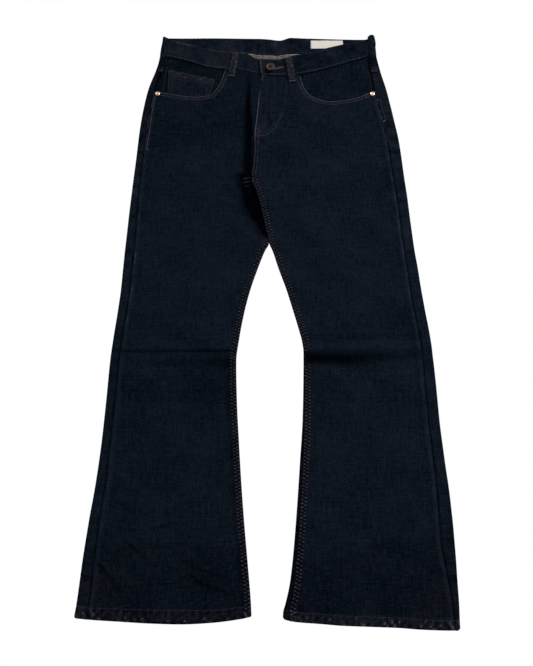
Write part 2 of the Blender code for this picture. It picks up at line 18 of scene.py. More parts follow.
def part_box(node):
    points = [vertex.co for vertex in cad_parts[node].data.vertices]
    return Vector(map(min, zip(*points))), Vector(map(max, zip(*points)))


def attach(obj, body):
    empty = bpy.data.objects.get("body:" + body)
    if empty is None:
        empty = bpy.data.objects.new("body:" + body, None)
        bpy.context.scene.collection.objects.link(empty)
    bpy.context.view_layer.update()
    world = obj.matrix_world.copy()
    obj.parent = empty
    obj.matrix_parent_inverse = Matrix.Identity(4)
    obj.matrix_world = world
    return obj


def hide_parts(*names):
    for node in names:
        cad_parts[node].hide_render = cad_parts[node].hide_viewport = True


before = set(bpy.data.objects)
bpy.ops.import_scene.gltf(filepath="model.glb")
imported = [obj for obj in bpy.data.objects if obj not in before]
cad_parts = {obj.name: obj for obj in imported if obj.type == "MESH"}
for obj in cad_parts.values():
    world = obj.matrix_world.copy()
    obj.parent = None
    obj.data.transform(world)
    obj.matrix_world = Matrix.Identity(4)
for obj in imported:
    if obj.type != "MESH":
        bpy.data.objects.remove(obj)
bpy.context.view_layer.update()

MM = 0.001
CLOTH = 1.1  # wall of one layer of denim
BAND_CLOTH = 2.4  # wall of the doubled waistband
GAP = 0.3  # between pieces at a seam
WAIST_GAP = 0.5  # at the waist seam, which is curved
HIP_GAP = 0.8  # at the outseam over the hip, which is curved too
LEG_TOP = 5.0  # height of the front's face over the table at the legs
HIP_TOP = 6.8  # and at the hips, where the pockets lie inside
BAND_TOP = 7.6  # of the waistband, before its own slight crown
LAPPED_TOP = 5.9  # where the left half lies under the closed fly and waistband
LAPPING_TOP = 9.6  # and of the waistband's end over it
BAND_CROWN = 0.4
HOLLOW_TOP = 4.0  # floor of the hollow beside the crotch
THINNEST = 2.7  # lowest face of the front over the back, and where the seam allowance lies below
THINNEST_SEAM = 4.0
CROTCH_UP = 764
FORK_UP = 628  # the legs part here, and above it they lie edge to edge
SWELL_RISE = 2.4  # the cloth stands up round the crotch, from this middle and as far as this
SWELL_X, SWELL_UP = -20, 728
SWELL_REACH_X, SWELL_REACH_UP = 120, 130
RIDGE_WIDTH = 48  # of the right front's ridge along the fly and inseam
HEM_DEPTH = 15
HEM_RISE = 0.9  # the turned-up hem is thicker than the leg
FELL_WIDTH = 10  # the felled inseam is a raised strip along the front's edge
FELL_RISE = 0.7
LEFT_FELL_END = 640  # it goes out of sight at the fork
RIGHT_FELL_END = 850  # and runs up to the fly
UNDERLAP = 10  # the left front runs on under the fly
WAIST_UP = 1000  # nominal top of the panels, before the dip of the waist seam
WIDEST = 300  # beyond both side edges
POCKET_END = 953  # where the pocket openings meet the outseams
POCKET_DROP = 3.0  # the pocket facing lies this much below the front's face
POCKET_DEPTH = 45  # of facing below the opening's lowest point
FACING_TOP = 1030
SEAT_MARGIN = 8.0  # strip of the back panel that turns up into the inseam


def track(points):
    """A smooth function through (at, value) pairs that never overshoots them."""
    at, value = np.array(points, float).T
    rates = np.diff(value) / np.diff(at)
    low, high = rates[:-1], rates[1:]
    same_way = low * high > 0
    middle = np.where(same_way, 2 * low * high / np.where(same_way, low + high, 1), 0)
    slopes = np.concatenate((rates[:1], middle, rates[-1:]))

    def read(x):
        x = np.clip(x, at[0], at[-1])
        i = np.clip(np.searchsorted(at, x, side="right") - 1, 0, len(at) - 2)
        span = at[i + 1] - at[i]
        t = (x - at[i]) / span
        rest = 1 - t
        return (
            value[i] * rest * rest * (1 + 2 * t)
            + value[i + 1] * t * t * (3 - 2 * t)
            + span * t * rest * (slopes[i] * rest - slopes[i + 1] * t)
        )

    return read


Station = namedtuple("Station", "up outer wrap inner peek")
Fold = namedtuple("Fold", "out up out_end up_end rise rise_end above below")

# outer: the folded side edge. wrap: how far the back comes round it onto the front.
# inner: the folded inseam edge, on the legs only. peek: how far it shows beyond the front.
LEFT_STATIONS = [Station(*row) for row in (
    (0, 284, 19, 21.5, 0.5), (30, 281, 19, 23, 0.5), (90, 277.5, 18, 28.5, 0.5),
    (150, 272.5, 16.5, 34.5, 0.5), (210, 266.5, 16, 39.5, 0.5), (275, 262.5, 14, 44, 0.5),
    (340, 260.5, 14.5, 48, 0.5), (410, 259, 15, 50, 0.5), (450, 256.5, 15, 45.5, 0.5),
    (500, 252.5, 15, 37, 0.5), (540, 250, 15.5, 27.5, 0.5), (580, 249, 16, 15, 0.5),
    (616, 248, 16, 2, 0.5), (628, 247.5, 16, -4, 0.5), (692, 245.3, 14.5, 9.5, 0.5),
    (764, 242, 13, 28.2, 0.5), (810, 239.6, 12.5, 28.2, 0.5), (848, 238, 14, 28.2, 0.5),
    (880, 236, 16, 28.2, 0.5), (913, 232.8, 14, 28.2, 0.5), (960, 225.9, 11, 28.2, 0.5),
    (1007, 213.2, 10, 28.2, 0.5), (1023, 209.8, 9.5, 28.2, 0.5), (1037, 207.8, 9, 28.2, 0.5),
)]
RIGHT_STATIONS = [Station(*row) for row in (
    (0, 283.5, 8, 23.5, 10), (18, 284.5, 9, 24.6, 9.5), (33, 285, 10.4, 28.3, 9),
    (62, 285.3, 14, 34.9, 7), (90, 285.8, 18, 39, 6), (125, 286, 21, 43, 5.5),
    (180, 285, 20, 48, 5), (243, 281.5, 18, 53, 4.5), (308, 278.5, 18, 58, 3),
    (376, 277.5, 18, 60.5, 2), (425, 276, 18, 61.5, 1.5), (445, 275, 17.5, 59.3, 1.5),
    (465, 273.3, 18, 54.5, 1), (500, 269.5, 18.5, 45.2, 1), (540, 265.8, 19, 34, 0.8),
    (580, 262.8, 18.5, 20.8, 0.5), (616, 259.5, 17.6, 10, 0.5), (628, 258.7, 17.8, 4.9, 0.5),
    (648, 257.6, 18, 0.4, 0.5), (692, 255.2, 18.4, -8.7, 0.5), (723, 253.8, 19, -15.7, 0.5),
    (764, 251, 20, -27.5, 0.5), (810, 248.4, 21, -27.5, 0.5), (848, 245.5, 21.8, -27.5, 0.5),
    (880, 241, 22.5, -27.5, 0.5), (913, 236.4, 22.8, -27.5, 0.5), (960, 229, 22, -27.5, 0.5),
    (1007, 219.2, 18, -27.5, 0.5), (1030, 215.6, 17, -27.5, 0.5), (1044, 213.5, 16, -27.5, 0.5),
)]
# Lines across the garment, as (X, up).
LEFT_WAIST_SEAM = (
    (-207, 1038), (-194, 1036), (-152, 1025), (-113, 1011), (-84, 1007),
    (-49, 1003), (-9, 995.5), (25, 992),
)
RIGHT_WAIST_SEAM = (
    (-30, 991), (-9, 990.7), (16, 988.8), (41, 989.6), (78, 996.6), (116, 1007),
    (154, 1020), (191.5, 1034), (217, 1046),
)
LEFT_BAND_TOP = (
    (-204, 1086), (-183.5, 1075), (-142, 1063), (-100.5, 1051.5), (-65, 1047),
    (-42, 1045.7), (-14.6, 1030.5), (25, 1026.5),
)
RIGHT_BAND_TOP = (
    (-16, 1029.4), (18.4, 1027), (53.5, 1039.4), (85, 1046.4), (128, 1060.4),
    (193.5, 1077.7), (215, 1086),
)
back_edge = track((
    (-204, 1086), (-131, 1084.5), (-17, 1084.5), (5, 1083), (26, 1080), (48, 1087),
    (72, 1085.5), (194, 1082), (215, 1086),
))
back_seam = track((
    (-207, 1038), (-150, 1044), (-42, 1048), (-5, 1043.5), (17, 1043), (30, 1044.3),
    (54, 1046.4), (82, 1047.2), (150, 1046), (217, 1046),
))
# Where the waistband folds round the side, as (share of its height, out).
LEFT_BAND_SIDE = ((0, 207.8), (0.4, 206.6), (0.75, 204.8), (1, 204.2))
RIGHT_BAND_SIDE = ((0, 213.4), (0.25, 213.2), (0.6, 214.6), (1, 213))
# The hems' lower edges and the pocket openings' edges, as (out, up).
LEFT_HEM = (
    (21, 11.5), (24, 9.5), (38, 6.5), (82, 1.2), (126, -0.8), (170, 0.3), (214, 2.8), (258, 5.4),
    (280, 7.7), (284, 10.5),
)
RIGHT_HEM = (
    (23.6, 9), (26.4, 6), (35, 3.6), (50, 1.7), (79, -0.2), (108, -2.6), (152, -4.2), (196, -5.8),
    (225, -8), (268, -9.4), (279, -9.5), (283, -7),
)
LEFT_POCKET = (
    (78, 1020), (81, 1004), (93.7, 964), (110, 944.5), (140.6, 941.5), (170, 946), (192, 951),
    (219, 954.5),
)
RIGHT_POCKET = (
    (62, 1010), (64.5, 996), (75, 957), (90, 941), (120, 930.5), (149, 934), (178, 942),
    (201, 953.5), (212, 955),
)
# Lines along the garment, as (up, X): the fly's edge, the seat seam behind, and the middle of
# the groove in the left front beside the fly, with its half width and depth.
fly_x = track((
    (764, -29), (787, -25), (810, -23.6), (848, -23), (880, -20.4),
    (913, -17.5), (960, -13.4), (985, -9.3), (1000, -8.6),
))
back_centre_x = track((
    (764, -27.8), (800, -20), (850, -13), (900, -8), (950, -2), (1000, 6), (1050, 10.5),
))
groove_x = track(((752, -35), (774, -35), (843, -33.6), (913, -35.3), (950, -34.3), (1000, -33)))
groove_half = track(((752, 9), (774, 8), (843, 7.5), (913, 6), (950, 4.5), (1000, 3)))
groove_drop = track(((748, 0), (775, 3.6), (900, 3.4), (960, 2.4), (1000, 0.6)))
# The hollow in the left front beside the crotch: (up, out) where it starts and where its floor
# starts, (up, share) of its depth, and the height of the right front's ridge along the fly.
hollow_start = track(((636, 12), (664, 24), (696, 40), (721, 57), (734, 62), (764, 56)))
hollow_floor = track(((636, 0), (654, 4.4), (676, 18), (700, 31), (723, 41), (764, 43)))
hollow_share = track(((628, 0), (650, 0.9), (680, 1), (750, 1), (766, 0)))
ridge_rise = track(((540, 0), (628, 0.8), (700, 1.9), (764, 2.4), (1000, 2.2)))
LEFT_FOLDS = (
    Fold(50, 411, 215, 409, 2.3, 0.8, 9, 14),
    Fold(50, 425, 215, 424, -1.3, -0.8, 6, 6),
    Fold(52, 391, 125, 393, -1.6, 0, 14, 12),
)
RIGHT_FOLDS = (
    Fold(60, 429, 262, 434, 3.4, 1.2, 18, 13),
    Fold(60, 410, 135, 405.5, -1.9, -1.6, 10, 13),
    Fold(135, 405.5, 256, 419, -1.6, -0.5, 10, 13),
    Fold(70, 450, 256, 450, -0.8, -0.6, 9, 9),
)
PANEL_ROW = 2.13  # between rows of a front panel
PANEL_EDGE = 13  # width of the finer columns along its two edges
INNER_PITCH, OUTER_PITCH = 1.45, 1.6
MIDDLE_COLUMNS = 62
BACK_ROW = 4.0
WRAP_COLUMNS = 8  # of a back panel from the outseam to the folded side edge
FOLD_STEPS = 12  # round a folded edge
SEAT_STEPS = 18  # over the part of the back that lies on the table
FELL_ROW = 0.8
CURVE_STEPS = 5  # segments round a rolled edge
SHARP_ANGLE = math.radians(48)
HEM_ROLL = 1.25  # radius of a folded cloth edge
BACK_ROLL = 0.95
TUCK = 0.8  # of the left leg's edge under the right one's, in the hollow
SEAM_ROLL = 0.8  # of an edge that goes down into a seam
HEM_TURNED = 6.5  # of the hem's cloth that runs back inside, past the first 4
PUCKER_PITCH = 5.6  # of the inseam's ladder of puckers, and of its stitches
ROPE_PITCH = 13.5  # of the twist along the hems
ROPE_SLANT = 0.9
HEM_LINE_DOWN = 1.5  # from the turned-up hem's upper edge to its row of stitches
KNEE_SHADE_UP = 413  # middle of the shade under the right knee's crease

# Unevenness of the face and of the dye, as (share, length of the waves, seed of their draw).
FACE_WAVES = ((0.42, 95, 3), (0.13, 30, 4))
DYE_WAVES = ((0.11, 75, 11), (0.07, 28, 12))
# Zones across a leg that are worn light, or dark where below 0, as (up, reach, wear).
RIGHT_ZONES = ((590, 170, 0.10), (250, 120, 0.05))
LEFT_ZONES = RIGHT_ZONES + ((365, 50, -0.28), (270, 95, -0.1))

# Creases too small for the solid, in the same terms as the folds.
LEFT_CREASES = (
    Fold(116.6, 64, 79, 52, 1.5, 0.9, 4.5, 7),
    Fold(134, 78, 109, 61.5, 1.1, 0.6, 4, 6),
    Fold(252, 83, 220, 52, 1.4, 0.7, 4, 7),
    Fold(204, 115, 186, 100, 1.2, 0.7, 4, 6),
    Fold(163, 144.5, 148, 149.5, 0.7, 0.4, 4, 6),
    Fold(250, 146.5, 237, 155.5, 0.8, 0.4, 5, 6),
    Fold(224, 215, 164, 175, 0.55, 0.35, 5, 8),
    Fold(60, 741, 36, 722, 0.9, 0.7, 5, 6),
    Fold(95, 705, 52, 688, -0.7, -0.9, 12, 14),
)
RIGHT_CREASES = (
    Fold(71, 139, 123, 149.5, -1.2, -0.6, 12, 9),
    Fold(137, 392, 208, 392, -0.9, -0.6, 10, 12),
    Fold(212, 205, 252, 120, 0.5, 0.6, 10, 10),
    Fold(-6, 742, 22, 728, 0.6, 0.3, 6, 7),
    Fold(75, 880, 118, 862, -0.5, -0.3, 14, 14),
)

# Painted shade under the creases at the knees and hems, in the same terms, with their share of the full
# painted shade.
LEFT_PAINTED_SHADE_LINES = (
    Fold(48, 427, 250, 426, 0.75, 0.45, 3.5, 4), Fold(48, 409, 105, 409, 0.75, 0.35, 15, 17),
    Fold(105, 409, 250, 409, 0.35, 0.1, 12, 14), Fold(247, 80, 228, 60, 0.95, 0.7, 3.8, 3.8),
    Fold(228, 60, 217, 48, 0.5, 0.3, 3.2, 3.2), Fold(111, 66, 95, 56, 0.95, 0.95, 3.8, 3.8),
    Fold(95, 56, 69, 47, 0.95, 0.6, 3.6, 3.6), Fold(108, 80, 90, 72, 0.6, 0.4, 3.4, 3.4),
    Fold(204, 110, 186, 95, 0.6, 0.4, 3.4, 3.4), Fold(163, 139, 148, 144, 0.5, 0.3, 3.2, 3.2),
)
RIGHT_PAINTED_SHADE_LINES = (
    Fold(40, 414, 125, 414, 0.96, 0.88, 16, 20), Fold(125, 414, 205, 417, 0.88, 0.4, 14, 16),
    Fold(205, 417, 262, 419, 0.4, 0.15, 11, 13),
)

# Painted highlights along the ridges of the gathered cloth where the fly's groove ends at the crotch, in
# the same terms.
PAINTED_KNOT_HIGHLIGHTS = (
    Fold(40, 760.5, 27, 763.5, 1, 0.9, 2.3, 2.3), Fold(42, 752.5, 27, 756, 1, 0.8, 2.2, 2.2),
    Fold(40, 744.7, 28, 746.7, 0.9, 0.6, 2.1, 2.1),
)
# Where the hollow's shade ends: (up, out).
hollow_shade = track((
    (628, -4), (643, 3), (661, 11.5), (677, 22), (694, 31), (712, 37), (730, 40), (760, 45), (775, 45),
))
# The upper edge of the left hem: (out, up).
left_hem_line = track((
    (42, 24), (68, 20.5), (96, 19.7), (141, 19.7), (193, 20.9), (233, 22.6), (261, 23.3), (278, 25.4),
))


def ramp(start, end, x):
    """From 0 at start to 1 at end, level at both."""
    t = np.clip((x - start) / (end - start), 0, 1)
    return t * t * (3 - 2 * t)


def bump(distance, reach):
    """1 at the middle, 0 from reach on."""
    return 0.5 + 0.5 * np.cos(math.pi * np.minimum(np.abs(distance) / reach, 1))


def mix(a, b, t):
    return a + (b - a) * t


RUMPLE_WAVES, RUMPLE_PEAK = 7, 3.2


def rumple(x, up, length, seed):
    """Uneven waves of about that length, between about -1 and 1."""
    draw = np.random.default_rng(seed)
    total = 0
    for _ in range(RUMPLE_WAVES):
        turn, phase = draw.uniform(0, 2 * math.pi, 2)
        rate = 2 * math.pi / (length * draw.uniform(0.6, 1.7))
        total = total + np.sin(rate * (x * math.cos(turn) + up * math.sin(turn)) + phase)
    return total / RUMPLE_PEAK


class Half:
    """One side of the garment: its lines as smooth functions, its folds, and its worn zones."""

    def __init__(self, name, sign, stations, pocket, seam, band, band_side, hem, marks):
        self.name, self.sign = name, sign
        for field in ("outer", "wrap", "inner", "peek"):
            setattr(self, field, track([(row.up, getattr(row, field)) for row in stations]))
        self.pocket, self.pocket_from, self.pocket_to = track(pocket), pocket[0][0], pocket[-1][0]
        self.pocket_low = min(up for _, up in pocket)
        self.hem, self.hem_from, self.hem_to = track(hem), hem[0][0], hem[-1][0]
        self.seam, self.band, self.band_side = track(seam), track(band), track(band_side)
        self.folds, self.creases, self.dark_lines, self.zones, self.fell_end = marks


LEFT = Half(
    "left", -1, LEFT_STATIONS, LEFT_POCKET, LEFT_WAIST_SEAM, LEFT_BAND_TOP, LEFT_BAND_SIDE,
    LEFT_HEM,
    (LEFT_FOLDS, LEFT_CREASES, LEFT_PAINTED_SHADE_LINES, LEFT_ZONES, LEFT_FELL_END),
)
RIGHT = Half(
    "right", 1, RIGHT_STATIONS, RIGHT_POCKET, RIGHT_WAIST_SEAM, RIGHT_BAND_TOP, RIGHT_BAND_SIDE,
    RIGHT_HEM,
    (RIGHT_FOLDS, RIGHT_CREASES, RIGHT_PAINTED_SHADE_LINES, RIGHT_ZONES, RIGHT_FELL_END),
)


def waves(x, up, table):
    """The sum of a table's rumples, each with its share."""
    return sum(share * rumple(x, up, length, seed) for share, length, seed in table)


def back_top(x):
    """The back band's upper edge, drawn up a little by its topstitching."""
    return back_edge(x) + 1.3 * bump(x + 110, 90)


def inner_edge(half, up):
    """The folded inseam edge. Between crotch and fork the left leg lies along the right one."""
    edge = half.inner(up)
    if half is RIGHT:
        return edge
    tucked = TUCK * hollow_share(up)
    return np.where(np.asarray(up) > FORK_UP, -RIGHT.inner(up) - tucked, edge)


def front_inner(half, up):
    """The front's inner edge: the inseam, then the fly's edge or the underlap below it."""
    seam = inner_edge(half, np.minimum(up, CROTCH_UP)) + half.peek(np.minimum(up, CROTCH_UP))
    above = mix(seam, half.sign * fly_x(up), ramp(CROTCH_UP, CROTCH_UP + 12, up))
    if half is LEFT:
        above = above - UNDERLAP * ramp(CROTCH_UP, CROTCH_UP + 20, up)
    return np.where(np.asarray(up) <= CROTCH_UP, seam, above)


def outseam(half, up):
    """Where the front meets the back that comes round the side edge."""
    return half.outer(up) - half.wrap(up)


def side_gap(up):
    return mix(GAP, HIP_GAP, ramp(760, 820, up))


def fold_rise(fold, out, up, past=1.0):
    """A soft ridge or trough along the fold's line, fading past its ends."""
    run = (fold.out_end - fold.out, fold.up_end - fold.up)
    length = math.hypot(*run)
    along = ((out - fold.out) * run[0] + (up - fold.up) * run[1]) / length
    across = (-(out - fold.out) * run[1] + (up - fold.up) * run[0]) / length
    reach = np.where(across > 0, fold.above, fold.below)
    fade = ramp(length + 30 * past, length, along) * ramp(-25 * past, 0, along)
    return mix(fold.rise, fold.rise_end, np.clip(along / length, 0, 1)) * bump(across, reach) * fade


def base_height(up):
    """Height of the front's face where nothing else shapes it."""
    return mix(LEG_TOP, HIP_TOP, ramp(780, 900, up))


def pocket_reach(half, out, up):
    """Distance below the pocket opening's edge."""
    slope = (half.pocket(out + 1) - half.pocket(out - 1)) / 2
    return (half.pocket(out) - up) / np.sqrt(1 + slope * slope)


def near_pocket(half, out):
    return ramp(half.pocket_from - 2, half.pocket_from + 4, out)


def hem_depth(half, out):
    """Height of the turned-up hem over the edge below it."""
    if half is RIGHT:
        return HEM_DEPTH + 0 * out
    return left_hem_line(out) - LEFT.hem(out)


# Painted highlights of the knots at the crotch, 0 to 1.
def painted_knot_highlights(half, out, up):
    if half is RIGHT:
        return 0
    return np.clip(np.max([fold_rise(knot, out, up, 0.12) for knot in PAINTED_KNOT_HIGHLIGHTS], axis=0), 0, 1)


def rope_twist(half, out, above_hem):
    """The slanting ridges of a turned-up hem, -1 to 1."""
    slant = ROPE_SLANT * half.sign * above_hem
    return np.sin(2 * math.pi * (out + slant) / ROPE_PITCH + 1.9 * np.sin(out / 27))


def cloth_detail(half, out, up):
    """What the solid's face leaves out: unevenness, small creases, seams that pull the cloth."""
    x = half.sign * out
    above_hem = up - half.hem(out)
    side = outseam(half, up) - out
    rise = waves(x, up, FACE_WAVES)
    for crease in half.creases:
        rise += fold_rise(crease, out, up)
    seam_ridge = (0.55 + 0.3 * rumple(x * 0.2, up, 26, 5)) * bump(side - 5, 6)
    rise += seam_ridge * ramp(950, 900, up) - 0.25 * bump(side - 14, 6)
    rise += 0.38 * rope_twist(half, out, above_hem) * bump(above_hem - 6, 9)
    rise = rise - 0.3 * bump(above_hem - hem_depth(half, out), 3.5)
    turned = pocket_reach(half, out, up)
    pulled = 0.3 * bump(turned - 5, 7) + 0.12 * rumple(out, up * 0.5, 12, 6) * bump(turned - 6, 10)
    rise += pulled * near_pocket(half, out)
    if half is RIGHT:
        from_fly = out - front_inner(RIGHT, up)
        gathered = bump(from_fly - 20, 26) * ramp(838, 870, up) * ramp(990, 940, up)
        return rise + 0.28 * gathered * rumple(x, up * 0.12, 13, 8)
    beside_groove = bump(groove_x(up) - x - 26, 16)
    return rise + 0.5 * beside_groove * ramp(770, 830, up) * ramp(985, 940, up)


def front_height(half, out, up):
    """Height of the front's face over the table, without the felled inseam."""
    edge = out - front_inner(half, up)
    height = base_height(up)
    swell = bump(up - SWELL_UP, SWELL_REACH_UP) * bump(half.sign * out - SWELL_X, SWELL_REACH_X)
    height = height + SWELL_RISE * swell
    for fold in half.folds:
        height = height + fold_rise(fold, out, up)
    height = height + cloth_detail(half, out, up)
    if half is RIGHT:
        height = height + ridge_rise(up) * ramp(RIDGE_WIDTH, 6, edge)
    else:
        x = -out
        height = height - groove_drop(up) * bump(x - groove_x(up), groove_half(up))
        deep = ramp(hollow_start(up), hollow_floor(up), out) * hollow_share(up)
        height = mix(height, HOLLOW_TOP, deep)
        lapped = ramp(CROTCH_UP, 790, up) * ramp(UNDERLAP + 3, UNDERLAP - 3, edge)
        height = mix(height, LAPPED_TOP, lapped)
    lowest = mix(THINNEST, THINNEST_SEAM, ramp(18, 12, edge))
    height = np.maximum(height, lowest)
    depth = hem_depth(half, out)
    return height + HEM_RISE * ramp(depth + 0.5, depth - 0.5, up - half.hem(out))


def hem_fell(half, out, up):
    """The felled inseam under the turned-up hem, where its own strip has ended."""
    edge = out - front_inner(half, up)
    strip = ramp(FELL_WIDTH + 0.8, FELL_WIDTH - 0.6, edge)
    depth = hem_depth(half, out)
    return FELL_RISE * strip * ramp(depth + 2, depth - 1, up - half.hem(out))


def painted_shade_share(half, out, up):
    """Painted shade, 0 to 1: in the groove beside the fly, over the hollow at the crotch, under the
    creases at the knees and hems, and along the left hem's lower edge.
    """
    deep = 0
    for fold in half.dark_lines:
        deep = np.maximum(deep, fold_rise(fold, out, up))
    if half is LEFT:
        # Painted shade in the groove beside the fly's raised edge, weaker towards the waist.
        far = groove_x(up) - groove_half(up)
        under_seam = fly_x(up) - mix(0.5, 3.8, ramp(780, 815, up))
        near = mix(under_seam, groove_x(up) + 4.2, ramp(860, 930, up))
        beside = ramp(far - 4.5, far + 4, -out) * ramp(near + 2.5, near - 2.5, -out)
        beside = beside * ramp(748, 764, up)
        deep = np.maximum(deep, 0.9 * beside * (1 - 0.7 * ramp(940, 995, up)))
        # Painted shade over the hollow beside the crotch, with a softer painted shade beyond its edge.
        shade, there = hollow_shade(up), ramp(628, 650, up) * ramp(778, 768, up)
        folds = 1 - 0.12 * np.clip(rumple(-out, up * 0.6, 15, 9), 0, 1)
        deep = np.maximum(deep, ramp(shade + 7.5, shade + 1, out) * folds * there)
        deep = np.maximum(deep, 0.7 * ramp(shade + 22, shade + 2, out) * there)
        # No painted shade under the knots' painted highlights.
        deep = deep * (1 - 0.85 * painted_knot_highlights(half, out, up))
        # Painted shade along the left hem's lower edge.
        above_hem = up - LEFT.hem(out)
        deep = np.maximum(deep, 0.9 * ramp(3.4, 1.8, above_hem) * bump(out - 142, 75))
    return np.clip(deep, 0, 1)


def row_up(half, up, out, top):
    """A row's place: the nominal one, bent to the hem below and to the waist above."""
    hem = half.hem(out) * ramp(160, 20, up)
    return up + hem + (top - WAIST_UP) * ramp(760, WAIST_UP, up)


def front_top(half, out):
    """The front's upper edge: the waist seam, cut down at the side by the pocket opening."""
    seam = half.seam(half.sign * out) - WAIST_GAP / 2
    return np.where(out > half.pocket_from, np.minimum(seam, half.pocket(out)), seam)


# Grids of points, and the meshes made of them.


def points_at(x, up, height):
    """A grid of points from three arrays that may be single rows, columns or numbers."""
    return np.stack(np.broadcast_arrays(x, up, height), axis=-1)


def unit(v):
    return v / np.maximum(np.linalg.norm(v, axis=-1, keepdims=True), 1e-9)


def reached(points, axis):
    """Distance run over the grid along that axis, from its first row or column."""
    first = points.take([0], axis)
    return np.cumsum(np.linalg.norm(np.diff(points, axis=axis, prepend=first), axis=-1), axis=axis)


def grid_normals(points, sign):
    return unit(np.cross(np.gradient(points, axis=1), np.gradient(points, axis=0))) * sign


def rolled(points, sign, side, radius, turn=math.pi, tail=()):
    """The grid with one side's edge bent round by `turn` and then run on by each length of tail."""
    face = grid_normals(points, sign)
    if side in ("left", "right"):
        points, face = points.swapaxes(0, 1), face.swapaxes(0, 1)
    if side in ("top", "right"):
        points, face = points[::-1], face[::-1]
    run = unit(points[1] - points[0])
    face = unit(face[0] - run * np.sum(face[0] * run, axis=-1, keepdims=True))
    centre = points[0] + (run - face) * radius
    rows = []
    for step in range(CURVE_STEPS + 1):
        angle = turn * step / CURVE_STEPS
        rows.append(centre + radius * (face * np.cos(angle) - run * np.sin(angle)))
    heading = -face * np.sin(turn) - run * np.cos(turn)
    rows += [rows[CURVE_STEPS] + heading * reach for reach in tail]
    points = np.concatenate((rows[::-1], points[1:]))
    if side in ("top", "right"):
        points = points[::-1]
    if side in ("left", "right"):
        points = points.swapaxes(0, 1)
    return points


def grid_faces(rows, columns, closed=False):
    """Quads over a grid of points numbered row by row. A closed grid's last column meets its first."""
    j, i = np.mgrid[0 : rows - 1, 0 : columns - (0 if closed else 1)]
    a = j * columns + i
    b = j * columns + (i + 1) % columns
    return np.stack((a, b, b + columns, a + columns), axis=-1).reshape(-1, 4)


def rim_of(rows, columns):
    """The grid's outer points in order, round once."""
    grid = np.arange(rows * columns).reshape(rows, columns)
    return np.concatenate((grid[0, :-1], grid[:-1, -1], grid[-1, :0:-1], grid[:0:-1, 0]))


BUTTON_AT = (7.5, 1005.5)
BUTTON_LOW, BUTTON_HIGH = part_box("waist_button")
ORIGIN = (BUTTON_LOW + BUTTON_HIGH) / 2 / MM - Vector((*BUTTON_AT, 0))
ORIGIN.z = 0


def mesh_object(name, points, faces, uv, tones, finishes, indices=None):
    """A piece in the frame's metres, with its weave coordinates and the tones its finish reads."""
    mesh = bpy.data.meshes.new(name)
    places = (np.asarray(points).reshape(-1, 3) + np.array(ORIGIN)) * MM
    mesh.from_pydata(places.tolist(), [], [list(face) for face in faces])
    layer = mesh.uv_layers.new(name="Weave")
    corners = np.zeros(len(mesh.loops), int)
    mesh.loops.foreach_get("vertex_index", corners)
    layer.data.foreach_set("uv", (np.asarray(uv).reshape(-1, 2) * MM)[corners].ravel())
    for tone, values in tones.items():
        attribute = mesh.attributes.new(tone, "FLOAT", "POINT")
        attribute.data.foreach_set("value", np.asarray(values, float).ravel())
    for finish in finishes:
        mesh.materials.append(finish)
    if indices is not None:
        mesh.polygons.foreach_set("material_index", indices)
    mesh.shade_smooth()
    mesh.set_sharp_from_angle(angle=SHARP_ANGLE)
    piece = bpy.data.objects.new(name, mesh)
    bpy.context.scene.collection.objects.link(piece)
    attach(piece, "root")
    return piece


def shell(name, points, sign, wall, uv, tones, finishes):
    """A closed thin shell grown inwards from its outer face. The second finish is its wrong side."""
    rows, columns = points.shape[:2]
    inner = points - grid_normals(points, sign) * wall
    count = rows * columns
    outside = grid_faces(rows, columns)
    inside = outside[:, ::-1] + count
    rim = rim_of(rows, columns)
    following = np.roll(rim, -1)
    wall_faces = np.stack((following, rim, rim + count, following + count), axis=-1)
    faces = np.concatenate((outside, inside, wall_faces))
    if sign < 0:
        faces = faces[:, ::-1]
    indices = np.concatenate((np.zeros(len(outside)), np.ones(len(inside)), np.zeros(len(rim))))
    both = np.concatenate((points.reshape(-1, 3), inner.reshape(-1, 3)))
    doubled = {tone: np.tile(values.ravel(), 2) for tone, values in tones.items()}
    return mesh_object(
        name, both, faces.tolist(), np.tile(uv.reshape(-1, 2), (2, 1)), doubled, finishes,
        indices.astype(int),
    )


EDGE_ANGLES = tuple(math.radians(angle) for angle in (40, 90, 140))


def ribbon(name, points, wall, tones, finishes):
    """A strip of doubled cloth with both long edges rounded. Its rows run along the strip."""
    rows, columns = points.shape[:2]
    face = grid_normals(points, 1)
    half = wall / 2

    def edge(k, inwards):
        outwards = unit(points[:, k] - points[:, inwards])
        centre = points[:, k] - face[:, k] * half
        turns = [(math.cos(angle), math.sin(angle)) for angle in EDGE_ANGLES]
        return [centre + half * (face[:, k] * rise + outwards * away) for rise, away in turns]

    ring = [points[:, i] for i in range(columns)] + edge(columns - 1, columns - 2)
    ring += [points[:, i] - face[:, i] * wall for i in reversed(range(columns))]
    ring += edge(0, 1)[::-1]
    rings = np.stack(ring, axis=1)
    around = rings.shape[1]
    faces = grid_faces(rows, around, closed=True).tolist()
    faces.append(list(range(around))[::-1])
    faces.append([(rows - 1) * around + k for k in range(around)])
    corner = len(EDGE_ANGLES)
    order = list(range(columns)) + [columns - 1] * corner + list(range(columns))[::-1] + [0] * corner
    spread = {tone: values[:, order] for tone, values in tones.items()}
    uv = np.stack((reached(points, 1), reached(points, 0)), axis=-1)[:, order]
    return mesh_object(name, rings, faces, uv, spread, finishes)


# Finishes.


